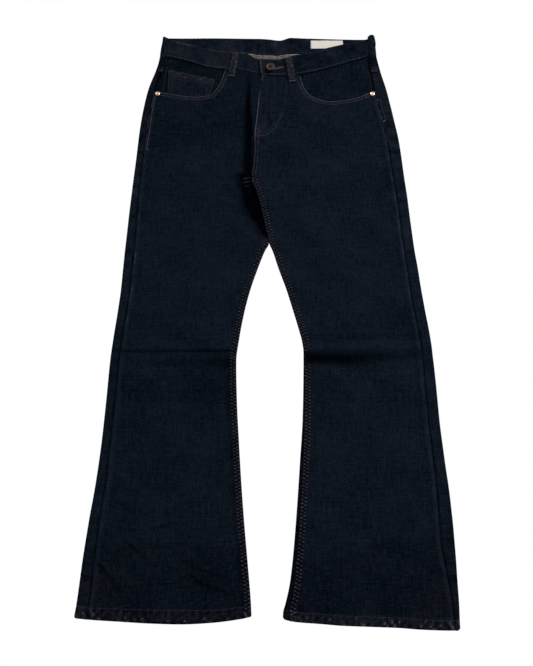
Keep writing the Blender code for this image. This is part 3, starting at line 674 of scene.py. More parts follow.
class Graph:
    """A material's nodes, each made and joined in one call."""

    def __init__(self, name):
        self.material = bpy.data.materials.new(name)
        self.material.use_nodes = True
        self.tree = self.material.node_tree
        self.shader = self.tree.nodes["Principled BSDF"]

    def put(self, socket, value):
        if isinstance(value, bpy.types.NodeSocket):
            self.tree.links.new(value, socket)
        else:
            socket.default_value = value

    def node(self, kind, inputs, output=0, **settings):
        made = self.tree.nodes.new(kind)
        for key, value in settings.items():
            setattr(made, key, value)
        for key, value in inputs.items():
            self.put(made.inputs[key], value)
        return made.outputs[output]

    def math(self, operation, a, b=0.0, c=0.0):
        return self.node("ShaderNodeMath", {0: a, 1: b, 2: c}, operation=operation)

    def blend(self, share, a, b):
        inputs = {0: share, 6: a, 7: b}
        return self.node("ShaderNodeMix", inputs, 2, data_type="RGBA", blend_type="MIX")

    def tone(self, name):
        return self.node("ShaderNodeAttribute", {}, 2, attribute_name=name)

    def weave(self):
        return self.node("ShaderNodeUVMap", {}, uv_map="Weave")

    def noise(self, at, across, along, detail=2.0, offset=0.0):
        """Noise over the weave, with that many grains to a metre across and along."""
        mapping = {"Vector": at, "Scale": (across, along, 1), "Location": (offset, offset, 0)}
        placed = self.node("ShaderNodeMapping", mapping)
        inputs = {"Vector": placed, "Scale": 1.0, "Detail": detail}
        return self.node("ShaderNodeTexNoise", inputs, 0, noise_dimensions="2D")

    def weighed(self, parts, start=0.0):
        """start plus each part's weight times how far the part is over its middle, 0.5 if not given."""
        total = start
        for part, weight, *middle in parts:
            over = self.math("SUBTRACT", part, middle[0] if middle else 0.5)
            total = self.math("MULTIPLY_ADD", over, weight, total)
        return total

    def held(self, share, low=0.0, high=1.0):
        """The share from low to high as 0 to 1, held within that."""
        inputs = {"Value": share, "From Min": low, "From Max": high}
        return self.node("ShaderNodeMapRange", inputs, clamp=True)

    def twill(self, at, pitch):
        """Diagonal ridges, 0 to 1, that pitch apart in metres."""
        split = self.tree.nodes.new("ShaderNodeSeparateXYZ")
        self.put(split.inputs[0], at)
        slant = self.math("MULTIPLY_ADD", split.outputs[1], 0.55, split.outputs[0])
        wave = self.math("SINE", self.math("MULTIPLY", slant, 2 * math.pi / pitch))
        return self.math("MULTIPLY_ADD", wave, 0.5, 0.5)

    def bumps(self, height, distance, strength=1.0):
        inputs = {"Strength": strength, "Distance": distance, "Height": height}
        self.put(self.shader.inputs["Normal"], self.node("ShaderNodeBump", inputs))

    def surface(self, **values):
        for name, value in values.items():
            self.put(self.shader.inputs[name.replace("_", " ")], value)
        return self.material


def colour(red, green, blue):
    return (red, green, blue, 1.0)


Noise = namedtuple("Noise", "across along detail offset weight")
# The denim's unevenness, in grains to a metre across and along the cloth, and its weight in the dye.
DENIM_NOISES = {
    "warp": Noise(620, 45, 3.0, 0.0, 0.85),
    "weft": Noise(50, 560, 3.0, 7.0, 0.70),
    "broad_warp": Noise(210, 16, 2.0, 13.0, 0.28),
    "broad_weft": Noise(18, 190, 2.0, 19.0, 0.25),
    "grain": Noise(330, 330, 2.0, 23.0, 0.95),
    "blocks": Noise(150, 130, 1.0, 27.0, 0.40),
    "clouds": Noise(16, 12, 3.0, 31.0, 0.38),
}
TWILL_PITCH = 0.0011  # in metres, as every size in a finish


def denim():
    graph = Graph("rinsed_indigo_denim")
    at = graph.weave()
    noises = {name: graph.noise(at, *row[:4]) for name, row in DENIM_NOISES.items()}
    ridges = graph.twill(at, TWILL_PITCH)
    parts = [(noises[name], row.weight) for name, row in DENIM_NOISES.items()]
    parts += [(ridges, 0.10), (graph.tone("wear_and_painted_shading"), 0.55, 0.0)]
    share = graph.held(graph.weighed(parts, 0.42))
    indigo = graph.blend(share, colour(0.0011, 0.0031, 0.0061), colour(0.0093, 0.0136, 0.0218))
    plum = graph.blend(share, colour(0.0024, 0.0028, 0.0062), colour(0.0128, 0.0125, 0.0185))
    dyed = graph.blend(graph.tone("plum"), indigo, plum)
    # The pale grey mix where wear_and_painted_shading runs high: rubbed edges, worn hem ridges and
    # painted highlights.
    rubbed_and_highlit = graph.math("MULTIPLY", graph.held(graph.tone("wear_and_painted_shading"), 0.8, 2.0), share)
    dyed = graph.blend(rubbed_and_highlit, dyed, colour(0.058, 0.058, 0.068))
    relief = ((noises["warp"], 0.8), (noises["weft"], 0.6), (ridges, 0.35), (noises["grain"], 0.5))
    graph.bumps(graph.weighed(relief), 0.0004, 0.55)
    # The deep tone blends the colour towards near-black: painted shade in grooves, hollows, creases,
    # seams and under edges.
    return graph.surface(
        Base_Color=graph.blend(graph.tone("deep"), dyed, colour(0.0003, 0.0005, 0.0012)),
        Roughness=1.0, Specular_IOR_Level=0.0,
    )


def wrong_side():
    """The cloth's inner side, where its undyed weft shows."""
    graph = Graph("denim_wrong_side")
    at = graph.weave()
    ridges = graph.twill(at, TWILL_PITCH)
    grain = graph.noise(at, 420, 160, 3.0)
    patches = graph.noise(at, 120, 120, 2.0, 3.0)
    share = graph.weighed(((ridges, 0.4), (grain, 0.8), (patches, 1.6)), 0.5)
    base = graph.blend(share, colour(0.050, 0.039, 0.031), colour(0.140, 0.116, 0.094))
    graph.bumps(share, 0.0003, 0.6)
    return graph.surface(Base_Color=base, Roughness=1.0, Specular_IOR_Level=0.0)


def thread(name, dark, light):
    graph = Graph(name)
    at = graph.weave()
    twist = graph.twill(at, 0.0007)
    uneven = graph.noise(at, 90, 90, 2.0)
    share = graph.weighed(((twist, 0.5), (uneven, 1.3)), 0.5)
    graph.bumps(twist, 0.0001, 0.5)
    return graph.surface(
        Base_Color=graph.blend(share, colour(*dark), colour(*light)), Roughness=0.9,
        Specular_IOR_Level=0.0,
    )


def copper(name, recessed, raised, roughness, dirt=0.5):
    graph = Graph(name)
    at = graph.weave()
    spots = graph.noise(at, 1300, 1300, 3.0)
    film = graph.noise(at, 260, 260, 2.0, 5.0)
    share = graph.weighed(((graph.tone("recess"), -1.5, 0.3), (spots, 0.7), (film, dirt, 0.5)), 0.75)
    share = graph.held(share)
    rough = graph.math("MULTIPLY_ADD", film, 0.2, roughness)
    graph.bumps(spots, 0.00008, 0.4)
    return graph.surface(
        Base_Color=graph.blend(share, colour(*recessed), colour(*raised)), Metallic=1.0, Roughness=rough,
    )


def woven_label():
    """Satin-woven cream tape: fine ribs across it."""
    graph = Graph("woven_cream_label")
    at = graph.weave()
    ribs = graph.noise(at, 60, 2600, 2.0)
    picks = graph.noise(at, 1500, 700, 2.0, 4.0)
    share = graph.weighed(((ribs, 1.1), (picks, 0.8)), 0.5)
    graph.bumps(share, 0.00015, 0.5)
    return graph.surface(
        Base_Color=graph.blend(share, colour(0.47, 0.44, 0.38), colour(0.66, 0.63, 0.57)), Roughness=0.6,
        Specular_IOR_Level=0.25,
    )


def zip_tape():
    graph = Graph("woven_zip_tape")
    at = graph.node("ShaderNodeTexCoord", {}, 3)
    share = graph.noise(at, 900, 500, 2.0)
    graph.bumps(share, 0.0002, 0.6)
    return graph.surface(
        Base_Color=graph.blend(share, colour(0.012, 0.012, 0.016), colour(0.03, 0.03, 0.036)),
        Roughness=0.8, Specular_IOR_Level=0.1,
    )


def floor_finish():
    """An evenly lit white sweep, which shows no shadow."""
    return Graph("glowing_white_floor").surface(
        Base_Color=colour(0, 0, 0), Roughness=1.0, Specular_IOR_Level=0.0,
        Emission_Color=colour(1, 1, 1), Emission_Strength=1.0,
    )


DENIM = denim()
WRONG_SIDE = wrong_side()
WOVEN = woven_label()
THREADS = {
    "dull": thread("dull_brown_thread", (0.021, 0.018, 0.022), (0.058, 0.050, 0.058)),
    "ladder": thread("pinkish_grey_thread", (0.050, 0.044, 0.052), (0.105, 0.094, 0.108)),
    "pale": thread("pale_grey_thread", (0.085, 0.080, 0.088), (0.160, 0.150, 0.160)),
    "rust": thread("rust_thread", (0.030, 0.019, 0.018), (0.072, 0.050, 0.046)),
    "tan": thread("tan_thread", (0.047, 0.034, 0.031), (0.105, 0.079, 0.071)),
    "cream": thread("cream_thread", (0.36, 0.33, 0.28), (0.52, 0.49, 0.43)),
}


# Cloth.


def hem_tones(half, x, up):
    """Wear and plum that the turned-up hem has, and the plum that has run up from it."""
    out = half.sign * x
    side = outseam(half, up) - out
    above_hem = up - half.hem(out)
    depth = hem_depth(half, out)
    turned_up = ramp(depth + 0.5, depth - 1, above_hem)
    twist = rope_twist(half, out, above_hem) + 0.45 * rumple(x, up, 30, 18)
    ticks = np.clip(twist, 0, 1) ** 7 * ramp(16, 5, above_hem)
    worn = 0.05 if half is LEFT else 0.3
    wear_and_painted_shading = 1.8 * ticks + (worn + 0.85 * rumple(x, up, 8, 17)) * turned_up
    wear_and_painted_shading += 0.7 * bump(side + 7, 11) * turned_up
    plum = 0.65 * turned_up + 0.55 * bump(side - 25, 60) * bump(above_hem - 45, 42)
    return wear_and_painted_shading, plum


def seam_tones(half, x, up):
    """The outseam's worn light ridge, painted shade in the seam's crevice and in the trough beside the
    ridge, and the wear of the back's strip beyond it.
    """
    side = outseam(half, up) - half.sign * x
    leg_share = ramp(480, 420, up) * ramp(18, 40, up)
    line = 0.34 + (0.1 if half is LEFT else 0.22) * leg_share + 0.15 * rumple(x * 0.1, up, 24, 13)
    edge = (0.5 + 0.25 * rumple(x * 0.1, up, 18, 19)) * (1 - 0.6 * leg_share)
    wear_and_painted_shading = line * bump(side - 4.8, 5 + 1.5 * leg_share) + edge * bump(side - 3.6, 3.2)
    beyond = ramp(0.5, -1.5, side) * ramp(20, 40, up) * ramp(935, 915, up)
    beyond = beyond * (0.5 + 0.5 * ramp(560, 660, up))
    wear_and_painted_shading += (0.1 + 0.4 * rumple(x * 0.25, up, 21, 26)) * beyond - 0.12 * bump(side - 12, 6)
    deep = (0.6 + 0.25 * rumple(x * 0.1, up, 40, 27)) * bump(side + 0.4, 2.4) * ramp(940, 925, up)
    return wear_and_painted_shading, deep


def tones_of(half, x, up):
    """How much lighter the denim is from wear and from painted highlight and shade
    (wear_and_painted_shading), where it has turned plum, and its painted shade (deep).
    """
    out = half.sign * x
    wear_and_painted_shading = waves(x, up, DYE_WAVES)
    for middle, reach, worn in half.zones:
        wear_and_painted_shading += worn * bump(up - middle, reach)
    if half is LEFT:
        # Left leg: painted shadow of the felled inseam in a band beside it below the knee, and darker
        # all over from the crotch up.
        from_inseam = out - front_inner(half, np.minimum(up, CROTCH_UP))
        wear_and_painted_shading = wear_and_painted_shading - 0.35 * bump(from_inseam - 13, 5) * ramp(425, 405, up) - 0.22 * ramp(780, 860, up)
    # Lighter on the ridges of creases and folds and darker in their troughs: partly worn crease lines,
    # partly painted highlight and shade.
    for crease in half.creases + half.folds:
        wear_and_painted_shading += 0.16 * fold_rise(crease, out, up) / max(abs(crease.rise), 0.5)
    dip = 0 if half is LEFT else 45 - 0.25 * out
    low = ramp(124, 106, up + 7 * rumple(x, 0 * up, 60, 16) + dip)
    hem_wear, hem_plum = hem_tones(half, x, up)
    seam_wear_and_shade, seam_painted_shade = seam_tones(half, x, up)
    # The knots' painted highlights lighten the colour here.
    wear_and_painted_shading = wear_and_painted_shading - 0.28 * low + hem_wear + seam_wear_and_shade + 1.5 * painted_knot_highlights(half, out, up)
    plum = low * np.clip(0.2 + 0.3 * rumple(x, up, 42, 14), 0, 1) + hem_plum
    plum = plum + 0.4 * ramp(2, -1, outseam(half, up) - out) * ramp(760, 880, up)
    deep = np.maximum(painted_shade_share(half, out, up), np.clip(seam_painted_shade, 0, 1))
    return {"wear_and_painted_shading": wear_and_painted_shading, "plum": np.clip(plum, 0, 1), "deep": deep}


def add_pocket_tones(tones, half, x, up):
    """A worn edge along the pocket opening, and a mottled plum band between its two rows."""
    turned = pocket_reach(half, half.sign * x, up)
    here = near_pocket(half, half.sign * x)
    between = bump(turned - 5, 5.5) * here
    tones["wear_and_painted_shading"] += 0.9 * bump(turned - 0.5, 2.4) * here + (0.6 + 0.6 * rumple(x, up, 9, 20)) * between
    tones["plum"] = np.clip(tones["plum"] + 0.8 * between, 0, 1)


def add_fly_tones(tones, x, up):
    """A worn edge along the fly, streaks in its gathers, and a faded patch at its lower end."""
    from_fly = x - front_inner(RIGHT, up)
    streaks = rumple(x, up * 0.1, 9, 15) * bump(from_fly - 24, 24) * ramp(850, 880, up)
    faded = bump(from_fly - 9, 11) * bump(up - 862, 20)
    tones["wear_and_painted_shading"] += 1.9 * bump(from_fly - 0.8, 3) * ramp(770, 800, up) - 0.6 * streaks
    tones["wear_and_painted_shading"] += (0.8 + 0.7 * rumple(x, up, 7, 24)) * faded
    tones["plum"] = np.clip(tones["plum"] + 0.8 * np.clip(streaks, 0, 1) + 0.6 * faded, 0, 1)


def front_panel(half):
    up = np.linspace(0, WAIST_UP, round(WAIST_UP / PANEL_ROW))[:, None]
    inner = front_inner(half, row_up(half, up, 0, WAIST_UP))
    side_up = row_up(half, up, WIDEST, POCKET_END)
    outer = outseam(half, side_up) - side_gap(side_up) / 2
    near = np.arange(0, PANEL_EDGE, INNER_PITCH)
    far = np.arange(0, PANEL_EDGE, OUTER_PITCH)[::-1]
    start, end = inner + near[-1] + OUTER_PITCH, outer - far[0] - OUTER_PITCH
    middle = mix(start, end, np.linspace(0, 1, MIDDLE_COLUMNS))
    out = np.concatenate((inner + near, middle, outer - far), axis=1)
    share = (out - inner) / (outer - inner)
    along_top = mix(front_inner(half, WAIST_UP), outseam(half, POCKET_END), share)
    place = row_up(half, up, out, front_top(half, along_top))
    height = front_height(half, out, place) + hem_fell(half, out, place)
    sign = half.sign
    points = points_at(sign * out, place, height)
    points = rolled(points, sign, "low", HEM_ROLL, tail=(4, HEM_TURNED))
    points = rolled(points, sign, "top", HEM_ROLL, tail=(5,))
    points = rolled(points, sign, "right", SEAM_ROLL, turn=math.pi / 2)
    level = points[:, :1, 1]
    open_edge = ramp(CROTCH_UP + 6, CROTCH_UP + 30, level)
    points = rolled(
        points, sign, "left", mix(0.55, HEM_ROLL, open_edge), mix(math.pi / 2, math.pi, open_edge),
        tail=(mix(0.1, 4, open_edge),),
    )
    x, level = points[..., 0], points[..., 1]
    out = half.sign * x
    tones = tones_of(half, x, level)
    add_pocket_tones(tones, half, x, level)
    if half is RIGHT:
        add_fly_tones(tones, x, level)
    uv = np.stack((out, level), axis=-1)
    name = f"front_panel_{half.name}"
    piece = shell(name, points, sign, CLOTH, uv, tones, (DENIM, WRONG_SIDE))
    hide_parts(f"front_{half.name}")
    return piece, points


def back_section(half, up, inner, inner_top):
    """Columns of a back panel from the outseam over the side edge, along the table, to the inseam."""
    outer = half.outer(up)
    top = front_height(half, outer - 4, up)
    radius = top / 2
    seam = outseam(half, up) + side_gap(up) / 2
    section = []
    seed = 21 if half is LEFT else 22
    for share in np.linspace(0, 1, WRAP_COLUMNS)[:-1]:
        out = mix(seam, outer - radius, share)
        puckers = 0.35 * rumple(out * 0.3, up, 15, seed) * bump(share - 0.4, 0.9)
        section.append((out, front_height(half, out, up) + puckers * ramp(0, 0.12, share)))
    for step in range(FOLD_STEPS + 1):
        angle = math.pi * (0.5 - step / FOLD_STEPS)
        section.append((outer - radius + radius * math.cos(angle), radius + radius * math.sin(angle)))
    turned = ramp(762, 747, up)
    curl = inner_top / 2
    start = outer - radius
    end = inner + mix(SEAT_MARGIN, curl, turned)
    section += [(mix(start, end, k / SEAT_STEPS), 0 * up) for k in range(1, SEAT_STEPS + 1)]
    for step in range(1, FOLD_STEPS + 2):
        angle = math.pi * (min(step / FOLD_STEPS, 1) - 0.5)
        past = np.maximum(4, half.peek(up) + 3 - curl) if step > FOLD_STEPS else 0
        curled = (inner + curl - curl * math.cos(angle) + past, curl + curl * math.sin(angle))
        flat = end - SEAT_MARGIN * step / (FOLD_STEPS + 1)
        section.append((mix(flat, curled[0], turned), mix(0, curled[1], turned)))
    return section, FOLD_STEPS + WRAP_COLUMNS


def back_panel(half):
    up = np.linspace(0, WAIST_UP, round(WAIST_UP / BACK_ROW))
    inner_up = row_up(half, up, 0, WAIST_UP)
    crotch_in = half.sign * back_centre_x(up) + 0.03
    inner = np.where(up < CROTCH_UP, inner_edge(half, inner_up), crotch_in)
    level = np.minimum(inner_up, CROTCH_UP)
    edge = front_inner(half, level)
    near = [front_height(half, edge + i, inner_up + a) for i in (0, 2, 4, 6) for a in (-7, 0, 7)]
    under_front = np.min(near, axis=0) - CLOTH - GAP
    side_up = row_up(half, up, WIDEST, half.seam(half.sign * WIDEST))
    section, over_side = back_section(half, side_up, inner, under_front)
    columns = []
    for k, (out, height) in enumerate(section):
        over = ramp(over_side, 6, k)
        top = mix(back_seam(half.sign * out), half.seam(half.sign * out), over) - WAIST_GAP / 2
        columns.append(points_at(half.sign * out, row_up(half, up, out, top), height))
    points = np.stack(columns, axis=1)
    sign = half.sign
    points = rolled(points, sign, "low", BACK_ROLL, tail=(3,))
    points = rolled(points, sign, "left", SEAM_ROLL, turn=math.pi / 2)
    x, level = points[..., 0], points[..., 1]
    tones = tones_of(half, x, level)
    # Painted shade on the back where it shows past the front's inner edge, below the crotch.
    past_front = front_inner(half, np.minimum(level, CROTCH_UP)) - sign * x
    in_shade = 0.6 * ramp(-0.5, 1, past_front) * ramp(CROTCH_UP - 30, CROTCH_UP - 60, level)
    tones["deep"] = np.maximum(tones["deep"], in_shade)
    piece = shell(
        f"back_panel_{half.name}", points, sign, CLOTH, np.stack((reached(points, 1), level), axis=-1),
        tones, (DENIM, WRONG_SIDE),
    )
    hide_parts(f"back_{half.name}")
    return piece, points


def ladder_phase(place, across):
    """The puckers along the fell's two seams stand half a pitch apart."""
    uneven = 0.9 * rumple(place, place, 40, 31)
    return 2 * math.pi * place / PUCKER_PITCH + math.pi * ramp(3.9, 5.5, across) + uneven


def fell_strip(half):
    """The felled inseam: a flat folded strip, drawn into a ladder of puckers by its two seams."""
    end = half.fell_end
    start = float(hem_depth(half, half.hem_from)) - 1
    up = np.arange(start, end, FELL_ROW)[:, None]
    place = row_up(half, up, front_inner(half, up), WAIST_UP)
    across = np.array((0.3, 1.2, 2.2, 3.3, 4.7, 6.1, 7.4, 8.5, 9.4))
    out = front_inner(half, place) + across + 0.25
    ladder = np.sin(ladder_phase(place, across))
    uneven = rumple(out * 0.4, place, 9, 32)
    pulled = bump(across - 4.7, 6.5)
    rise = FELL_RISE + 0.2 * ladder * pulled + 0.13 * uneven
    rise = rise - 0.22 * (bump(across - 2.2, 1.2) + bump(across - 7.4, 1.2))
    height = front_height(half, out, place) + rise - 1.2 * ramp(end - 16, end, place)
    points = points_at(half.sign * out, place, height)
    tones = tones_of(half, points[..., 0], place)
    pulled = pulled * ramp(778, 752, place)
    # Lighter on the puckers' crests, part wear and part painted highlight, with painted shade in the
    # troughs between them and a worn light line along its edge.
    tones["wear_and_painted_shading"] += 0.75 * ladder * pulled + 0.45 * bump(across - 0.6, 1.8) - 0.1
    tones["plum"] = np.clip(tones["plum"] + 0.6 + 0.25 * uneven, 0, 1)
    tones["deep"] = np.maximum(tones["deep"] * 0.5, 0.6 * np.clip(-ladder, 0, 1) * pulled)
    # Painted shade under the right knee's crease.
    if half is RIGHT:
        tones["deep"] = np.maximum(tones["deep"], 0.8 * bump(place - KNEE_SHADE_UP, 17))
    if half is LEFT:
        points, tones = points[:, ::-1], {tone: value[:, ::-1] for tone, value in tones.items()}
    return ribbon(f"inseam_fell_{half.name}", points, 0.85, tones, (DENIM,)), points


BAND_SHARES = np.concatenate([
    np.linspace(*ends) for ends in ((0.03, 0.16, 6), (0.21, 0.79, 10), (0.84, 0.97, 6))
])
BAND_HIGH = 40
# Its rows, as (first X, last X, step) on the left front, and (first X, last X, count) on the rest.
BAND_LEFT, BAND_BACK, BAND_RIGHT = (24, -194, -2.8), (-188, 192, 96), (199, -13, 77)


def band_height(half, x, share):
    """The waistband's outer face on the front. Its right end laps over the left one."""
    crown = BAND_CROWN * np.sin(math.pi * share)
    if half is LEFT:
        return mix(BAND_TOP, LAPPED_TOP, ramp(-62, -22, x)) + crown
    return mix(BAND_TOP, LAPPING_TOP, ramp(60, 15, x)) + crown


def band_detail(x, share):
    """Its unevenness, and the puckers along its two seams."""
    up = share * BAND_HIGH
    wave = 0.3 * rumple(x, up, 48, 41) + 0.16 * rumple(x, up * 0.6, 14, 42)
    seams = bump(up - 3, 2.2) + bump(up - 37, 2.2)
    return wave - 0.22 * seams + 0.14 * seams * rumple(x, 0 * up, 7, 43)


def band_column(half, x):
    low, high = half.seam(x) + WAIST_GAP / 2, half.band(x)
    slant = mix(1.8, -1.9, BAND_SHARES) * ramp(4, -13, x) if half is RIGHT else 0
    height = band_height(half, x, BAND_SHARES) + band_detail(x, BAND_SHARES)
    return points_at(x + slant, mix(low, high, BAND_SHARES), height)


def band_side_column(half, angle):
    radius = BAND_TOP / 2
    out = half.band_side(BAND_SHARES) - radius + radius * math.cos(angle)
    low = half.seam(half.sign * WIDEST) + 2 * WAIST_GAP
    up = mix(low, half.band(half.sign * WIDEST), BAND_SHARES)
    return points_at(half.sign * out, up, radius + radius * math.sin(angle))


def waistband():
    """One doubled strip from the underlap, round the left side, across the back and to the overlap."""
    angles = np.radians(np.linspace(90, -90, FOLD_STEPS + 1))
    rows = [band_column(LEFT, x) for x in np.arange(*BAND_LEFT)]
    rows += [band_side_column(LEFT, angle) for angle in angles]
    for x in np.linspace(*BAND_BACK):
        up = mix(back_seam(x) + WAIST_GAP / 2, back_top(x), BAND_SHARES)
        rows.append(points_at(x, up, 0))
    rows += [band_side_column(RIGHT, angle) for angle in angles[::-1]]
    rows += [band_column(RIGHT, x) for x in np.linspace(*BAND_RIGHT)]
    points = np.stack(rows)
    x, up = points[..., 0], points[..., 1]
    top_edge = bump(BAND_SHARES - 1, 0.08) * (0.8 + 0.4 * rumple(x, 0 * up, 11, 46))
    wear_and_painted_shading = 0.3 * rumple(x, up, 60, 44) + 0.26 * rumple(x, up * 0.7, 13, 45)
    wear_and_painted_shading = wear_and_painted_shading + 1.1 * (top_edge + bump(BAND_SHARES, 0.06))
    front = ramp(4, 8, points[..., 2])
    back = 1 - front
    on_left = ramp(10, -10, x)
    left_wear = (0.22 + 0.6 * bump(BAND_SHARES - 1, 0.09)) * on_left
    wear_and_painted_shading = wear_and_painted_shading + front * (left_wear - 0.2 * ramp(10, 30, x))
    wear_and_painted_shading = wear_and_painted_shading + 0.4 * back * rumple(x, up * 0.12, 8, 48) * bump(x - 25, 110)
    plum = np.clip(0.2 + 0.35 * rumple(x, up, 45, 47) + 0.2 * front * on_left, 0, 1)
    # Painted shade along the back band's upper edge.
    deep = 0.65 * back * ramp(0.9, 0.96, BAND_SHARES)
    tones = {"wear_and_painted_shading": wear_and_painted_shading, "plum": plum, "deep": deep}
    piece = ribbon("waistband_cloth", points, BAND_CLOTH, tones, (DENIM,))
    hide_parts("waistband")
    return piece, points


def outer_height(x, up):
    """The highest cloth at a point of the front: band, panel or pocket facing."""
    half = RIGHT if x > fly_x(np.clip(up, CROTCH_UP, WAIST_UP)) else LEFT
    seam = half.seam(x)
    if up > seam - 1:
        share = np.clip((up - seam) / (half.band(x) - seam), 0, 1)
        return band_height(half, x, share)
    return front_height(half, half.sign * x, up)


LOOP_WALL = 1.6
SIDE_LOOP_WALL = 0.9  # a loop at the side lies flatter
LOOP_BULGE = 1.4
# peak: how round its upper end is.
Loop = namedtuple("Loop", "name top_x top_up low_x low_up width peak", defaults=(0,))
LOOPS = (
    Loop("belt_loop_front_left", -60.0, 1045.5, -67.7, 987.3, 13.0),
    Loop("belt_loop_front_right", 42.5, 1030.5, 50.0, 974.2, 14.0),
    Loop("belt_loop_side_left", -197.6, 1080.5, -204.6, 999.0, 11.0),
    Loop("belt_loop_side_right", 205.0, 1088.0, 207.8, 998.0, 14.5, 17.0),
)
LOOP_STEPS = 40
BAND_UP = 1080  # a point of the front waistband beyond its upper edge is read at the edge


def loop_line(loop):
    """Its two ends, and the directions down it and across it."""
    top, low = np.array((loop.top_x, loop.top_up)), np.array((loop.low_x, loop.low_up))
    down = unit(low - top)
    return top, low, down, left_of(down)


def belt_loop(loop):
    """A folded strip over the waistband, bowed off it in the middle and sewn down at both ends."""
    top, low, _, across = loop_line(loop)
    across = across * np.sign(across[0])
    at_side = "side" in loop.name
    bulge = LOOP_BULGE * (0.1 if at_side else 1)
    drop = 0.9 if at_side else 0.3
    shares = (np.arange(7) / 6 - 0.5) * (loop.width - LOOP_WALL)
    rows = []
    for step in range(LOOP_STEPS + 1):
        t = step / LOOP_STEPS
        middle = mix(top, low, t)
        under = max(
            outer_height(middle[0] + dx, min(middle[1] + dy, BAND_UP))
            for dx in (-loop.width / 2, 0, loop.width / 2)
            for dy in (-9, -4, 0, 4, 9)
        )
        sewn = bump(t - 0.04, 0.07) + bump(t - 0.96, 0.07)
        height = under + GAP + LOOP_WALL + bulge * math.sin(math.pi * t) ** 0.7 - 0.35 * sewn
        seam = bump(np.abs(shares) - loop.width / 2 + 3, 1.8)
        height = height - drop * (shares / loop.width * 2) ** 2 - 0.2 * seam
        height = height + 0.12 * rumple(shares, t * 60, 9, 51)
        rows.append(points_at(*(middle[k] + across[k] * shares for k in (0, 1)), height))
    points = np.stack(rows)[::-1]
    x, up = points[..., 0], points[..., 1]
    worn, rubbed_and_highlit = (-0.08, 0.0) if at_side else (0.7, 0.4)
    wear_and_painted_shading = worn + 0.4 * rumple(x, up, 9, 52) + rubbed_and_highlit * (np.abs(shares) / loop.width * 2) ** 3
    down_it = np.linspace(1, 0, len(points))[:, None] + 0 * x
    deep = 0 * x
    if at_side:
        wear_and_painted_shading = wear_and_painted_shading + 0.5 * ramp(0.84, 0.9, down_it)
        # Side loops: painted shade in a band over their lower half.
        deep = 0.5 * ramp(0.5, 0.6, down_it) * ramp(0.9, 0.82, down_it)
    plum = np.clip(0.15 + worn + 0.3 * rumple(x, up, 20, 53), 0, 1)
    shaped = points.copy()
    shaped[..., 1] -= loop.peak * (shares / loop.width - 0.1) ** 2 * ramp(0.13, 0, down_it)
    wall = SIDE_LOOP_WALL if at_side else LOOP_WALL
    tones = {"wear_and_painted_shading": wear_and_painted_shading, "plum": plum, "deep": deep}
    piece = ribbon(f"{loop.name}_cloth", shaped, wall, tones, (DENIM,))
    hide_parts(loop.name)
    return piece, points


FACING_ROWS, FACING_COLUMNS = 50, 56
# Two buckles in the left facing beside the coin pocket.
FACING_BUCKLES = (
    Fold(83, 992, 99, 952, 1.1, 0.9, 3.2, 3.2),
    Fold(90, 992, 106, 952, -0.6, -0.5, 4, 4),
)


def pocket_facing(half):
    """The layer seen inside the pocket opening, tucked under the front, the side edge and the band."""
    lowest = half.pocket_low - POCKET_DEPTH
    share = np.linspace(0, 1, FACING_COLUMNS)
    level = np.linspace(lowest, FACING_TOP, FACING_ROWS)[:, None]
    side = np.minimum(outseam(half, level) + 5, half.outer(level) - 10)
    out = mix(half.pocket_from - 8, side, share)
    high = half.seam(half.sign * out) + 6
    along = np.linspace(0, 1, FACING_ROWS)[:, None]
    up = mix(lowest + 18 * (1 - share) ** 2, high, along)
    x = half.sign * out
    height = base_height(up) - POCKET_DROP + 0.25 * rumple(x, up, 50, 61)
    height = height + 1.3 * ramp(14, 4, high - up)
    if half is LEFT:
        for buckle in FACING_BUCKLES:
            height = height + fold_rise(buckle, out, up)
    points = points_at(x, up, height)
    # The facing is darker all over, the left one more, with painted shadow along its edge beside the
    # outseam.
    facing_darkening, shade = (0.5, 0.7) if half is LEFT else (0.3, 0.2)
    wear_and_painted_shading = 0.13 * rumple(x, up, 40, 62) + 0.06 * rumple(x, up, 14, 63) - facing_darkening
    beside = bump(outseam(half, up) - 1 - out, 6) * ramp(1022, 1012, up)
    plum = np.clip(0.15 + 0.2 * rumple(x, up, 40, 64), 0, 1)
    tones = {"wear_and_painted_shading": wear_and_painted_shading, "plum": plum, "deep": shade * beside}
    name = f"pocket_lining_{half.name}"
    uv = np.stack((x, up), axis=-1)
    piece = shell(name, points, half.sign, CLOTH, uv, tones, (DENIM, WRONG_SIDE))
    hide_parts(f"pocket_facing_{half.name}")
    return piece, points


COIN_TOP = ((-190, 1006.5), (-98, 983.5))
COIN_BOTTOM = ((-190, 935), (-112, 925))
COIN_ROLL = 0.7
COIN_HEM = 0.5  # its turned top edge stands this much higher
COIN_HEM_SHARES = (0.68, 0.73)  # of its height, where the turned hem steps up


def shares_over(rows, columns):
    """Shares from 0 to 1 along and across a grid."""
    return np.meshgrid(np.linspace(0, 1, rows), np.linspace(0, 1, columns), indexing="ij")


def coin_point(across, along):
    low, high = (mix(*np.array(ends), across[..., None]) for ends in (COIN_BOTTOM, COIN_TOP))
    return mix(low, high, along[..., None])


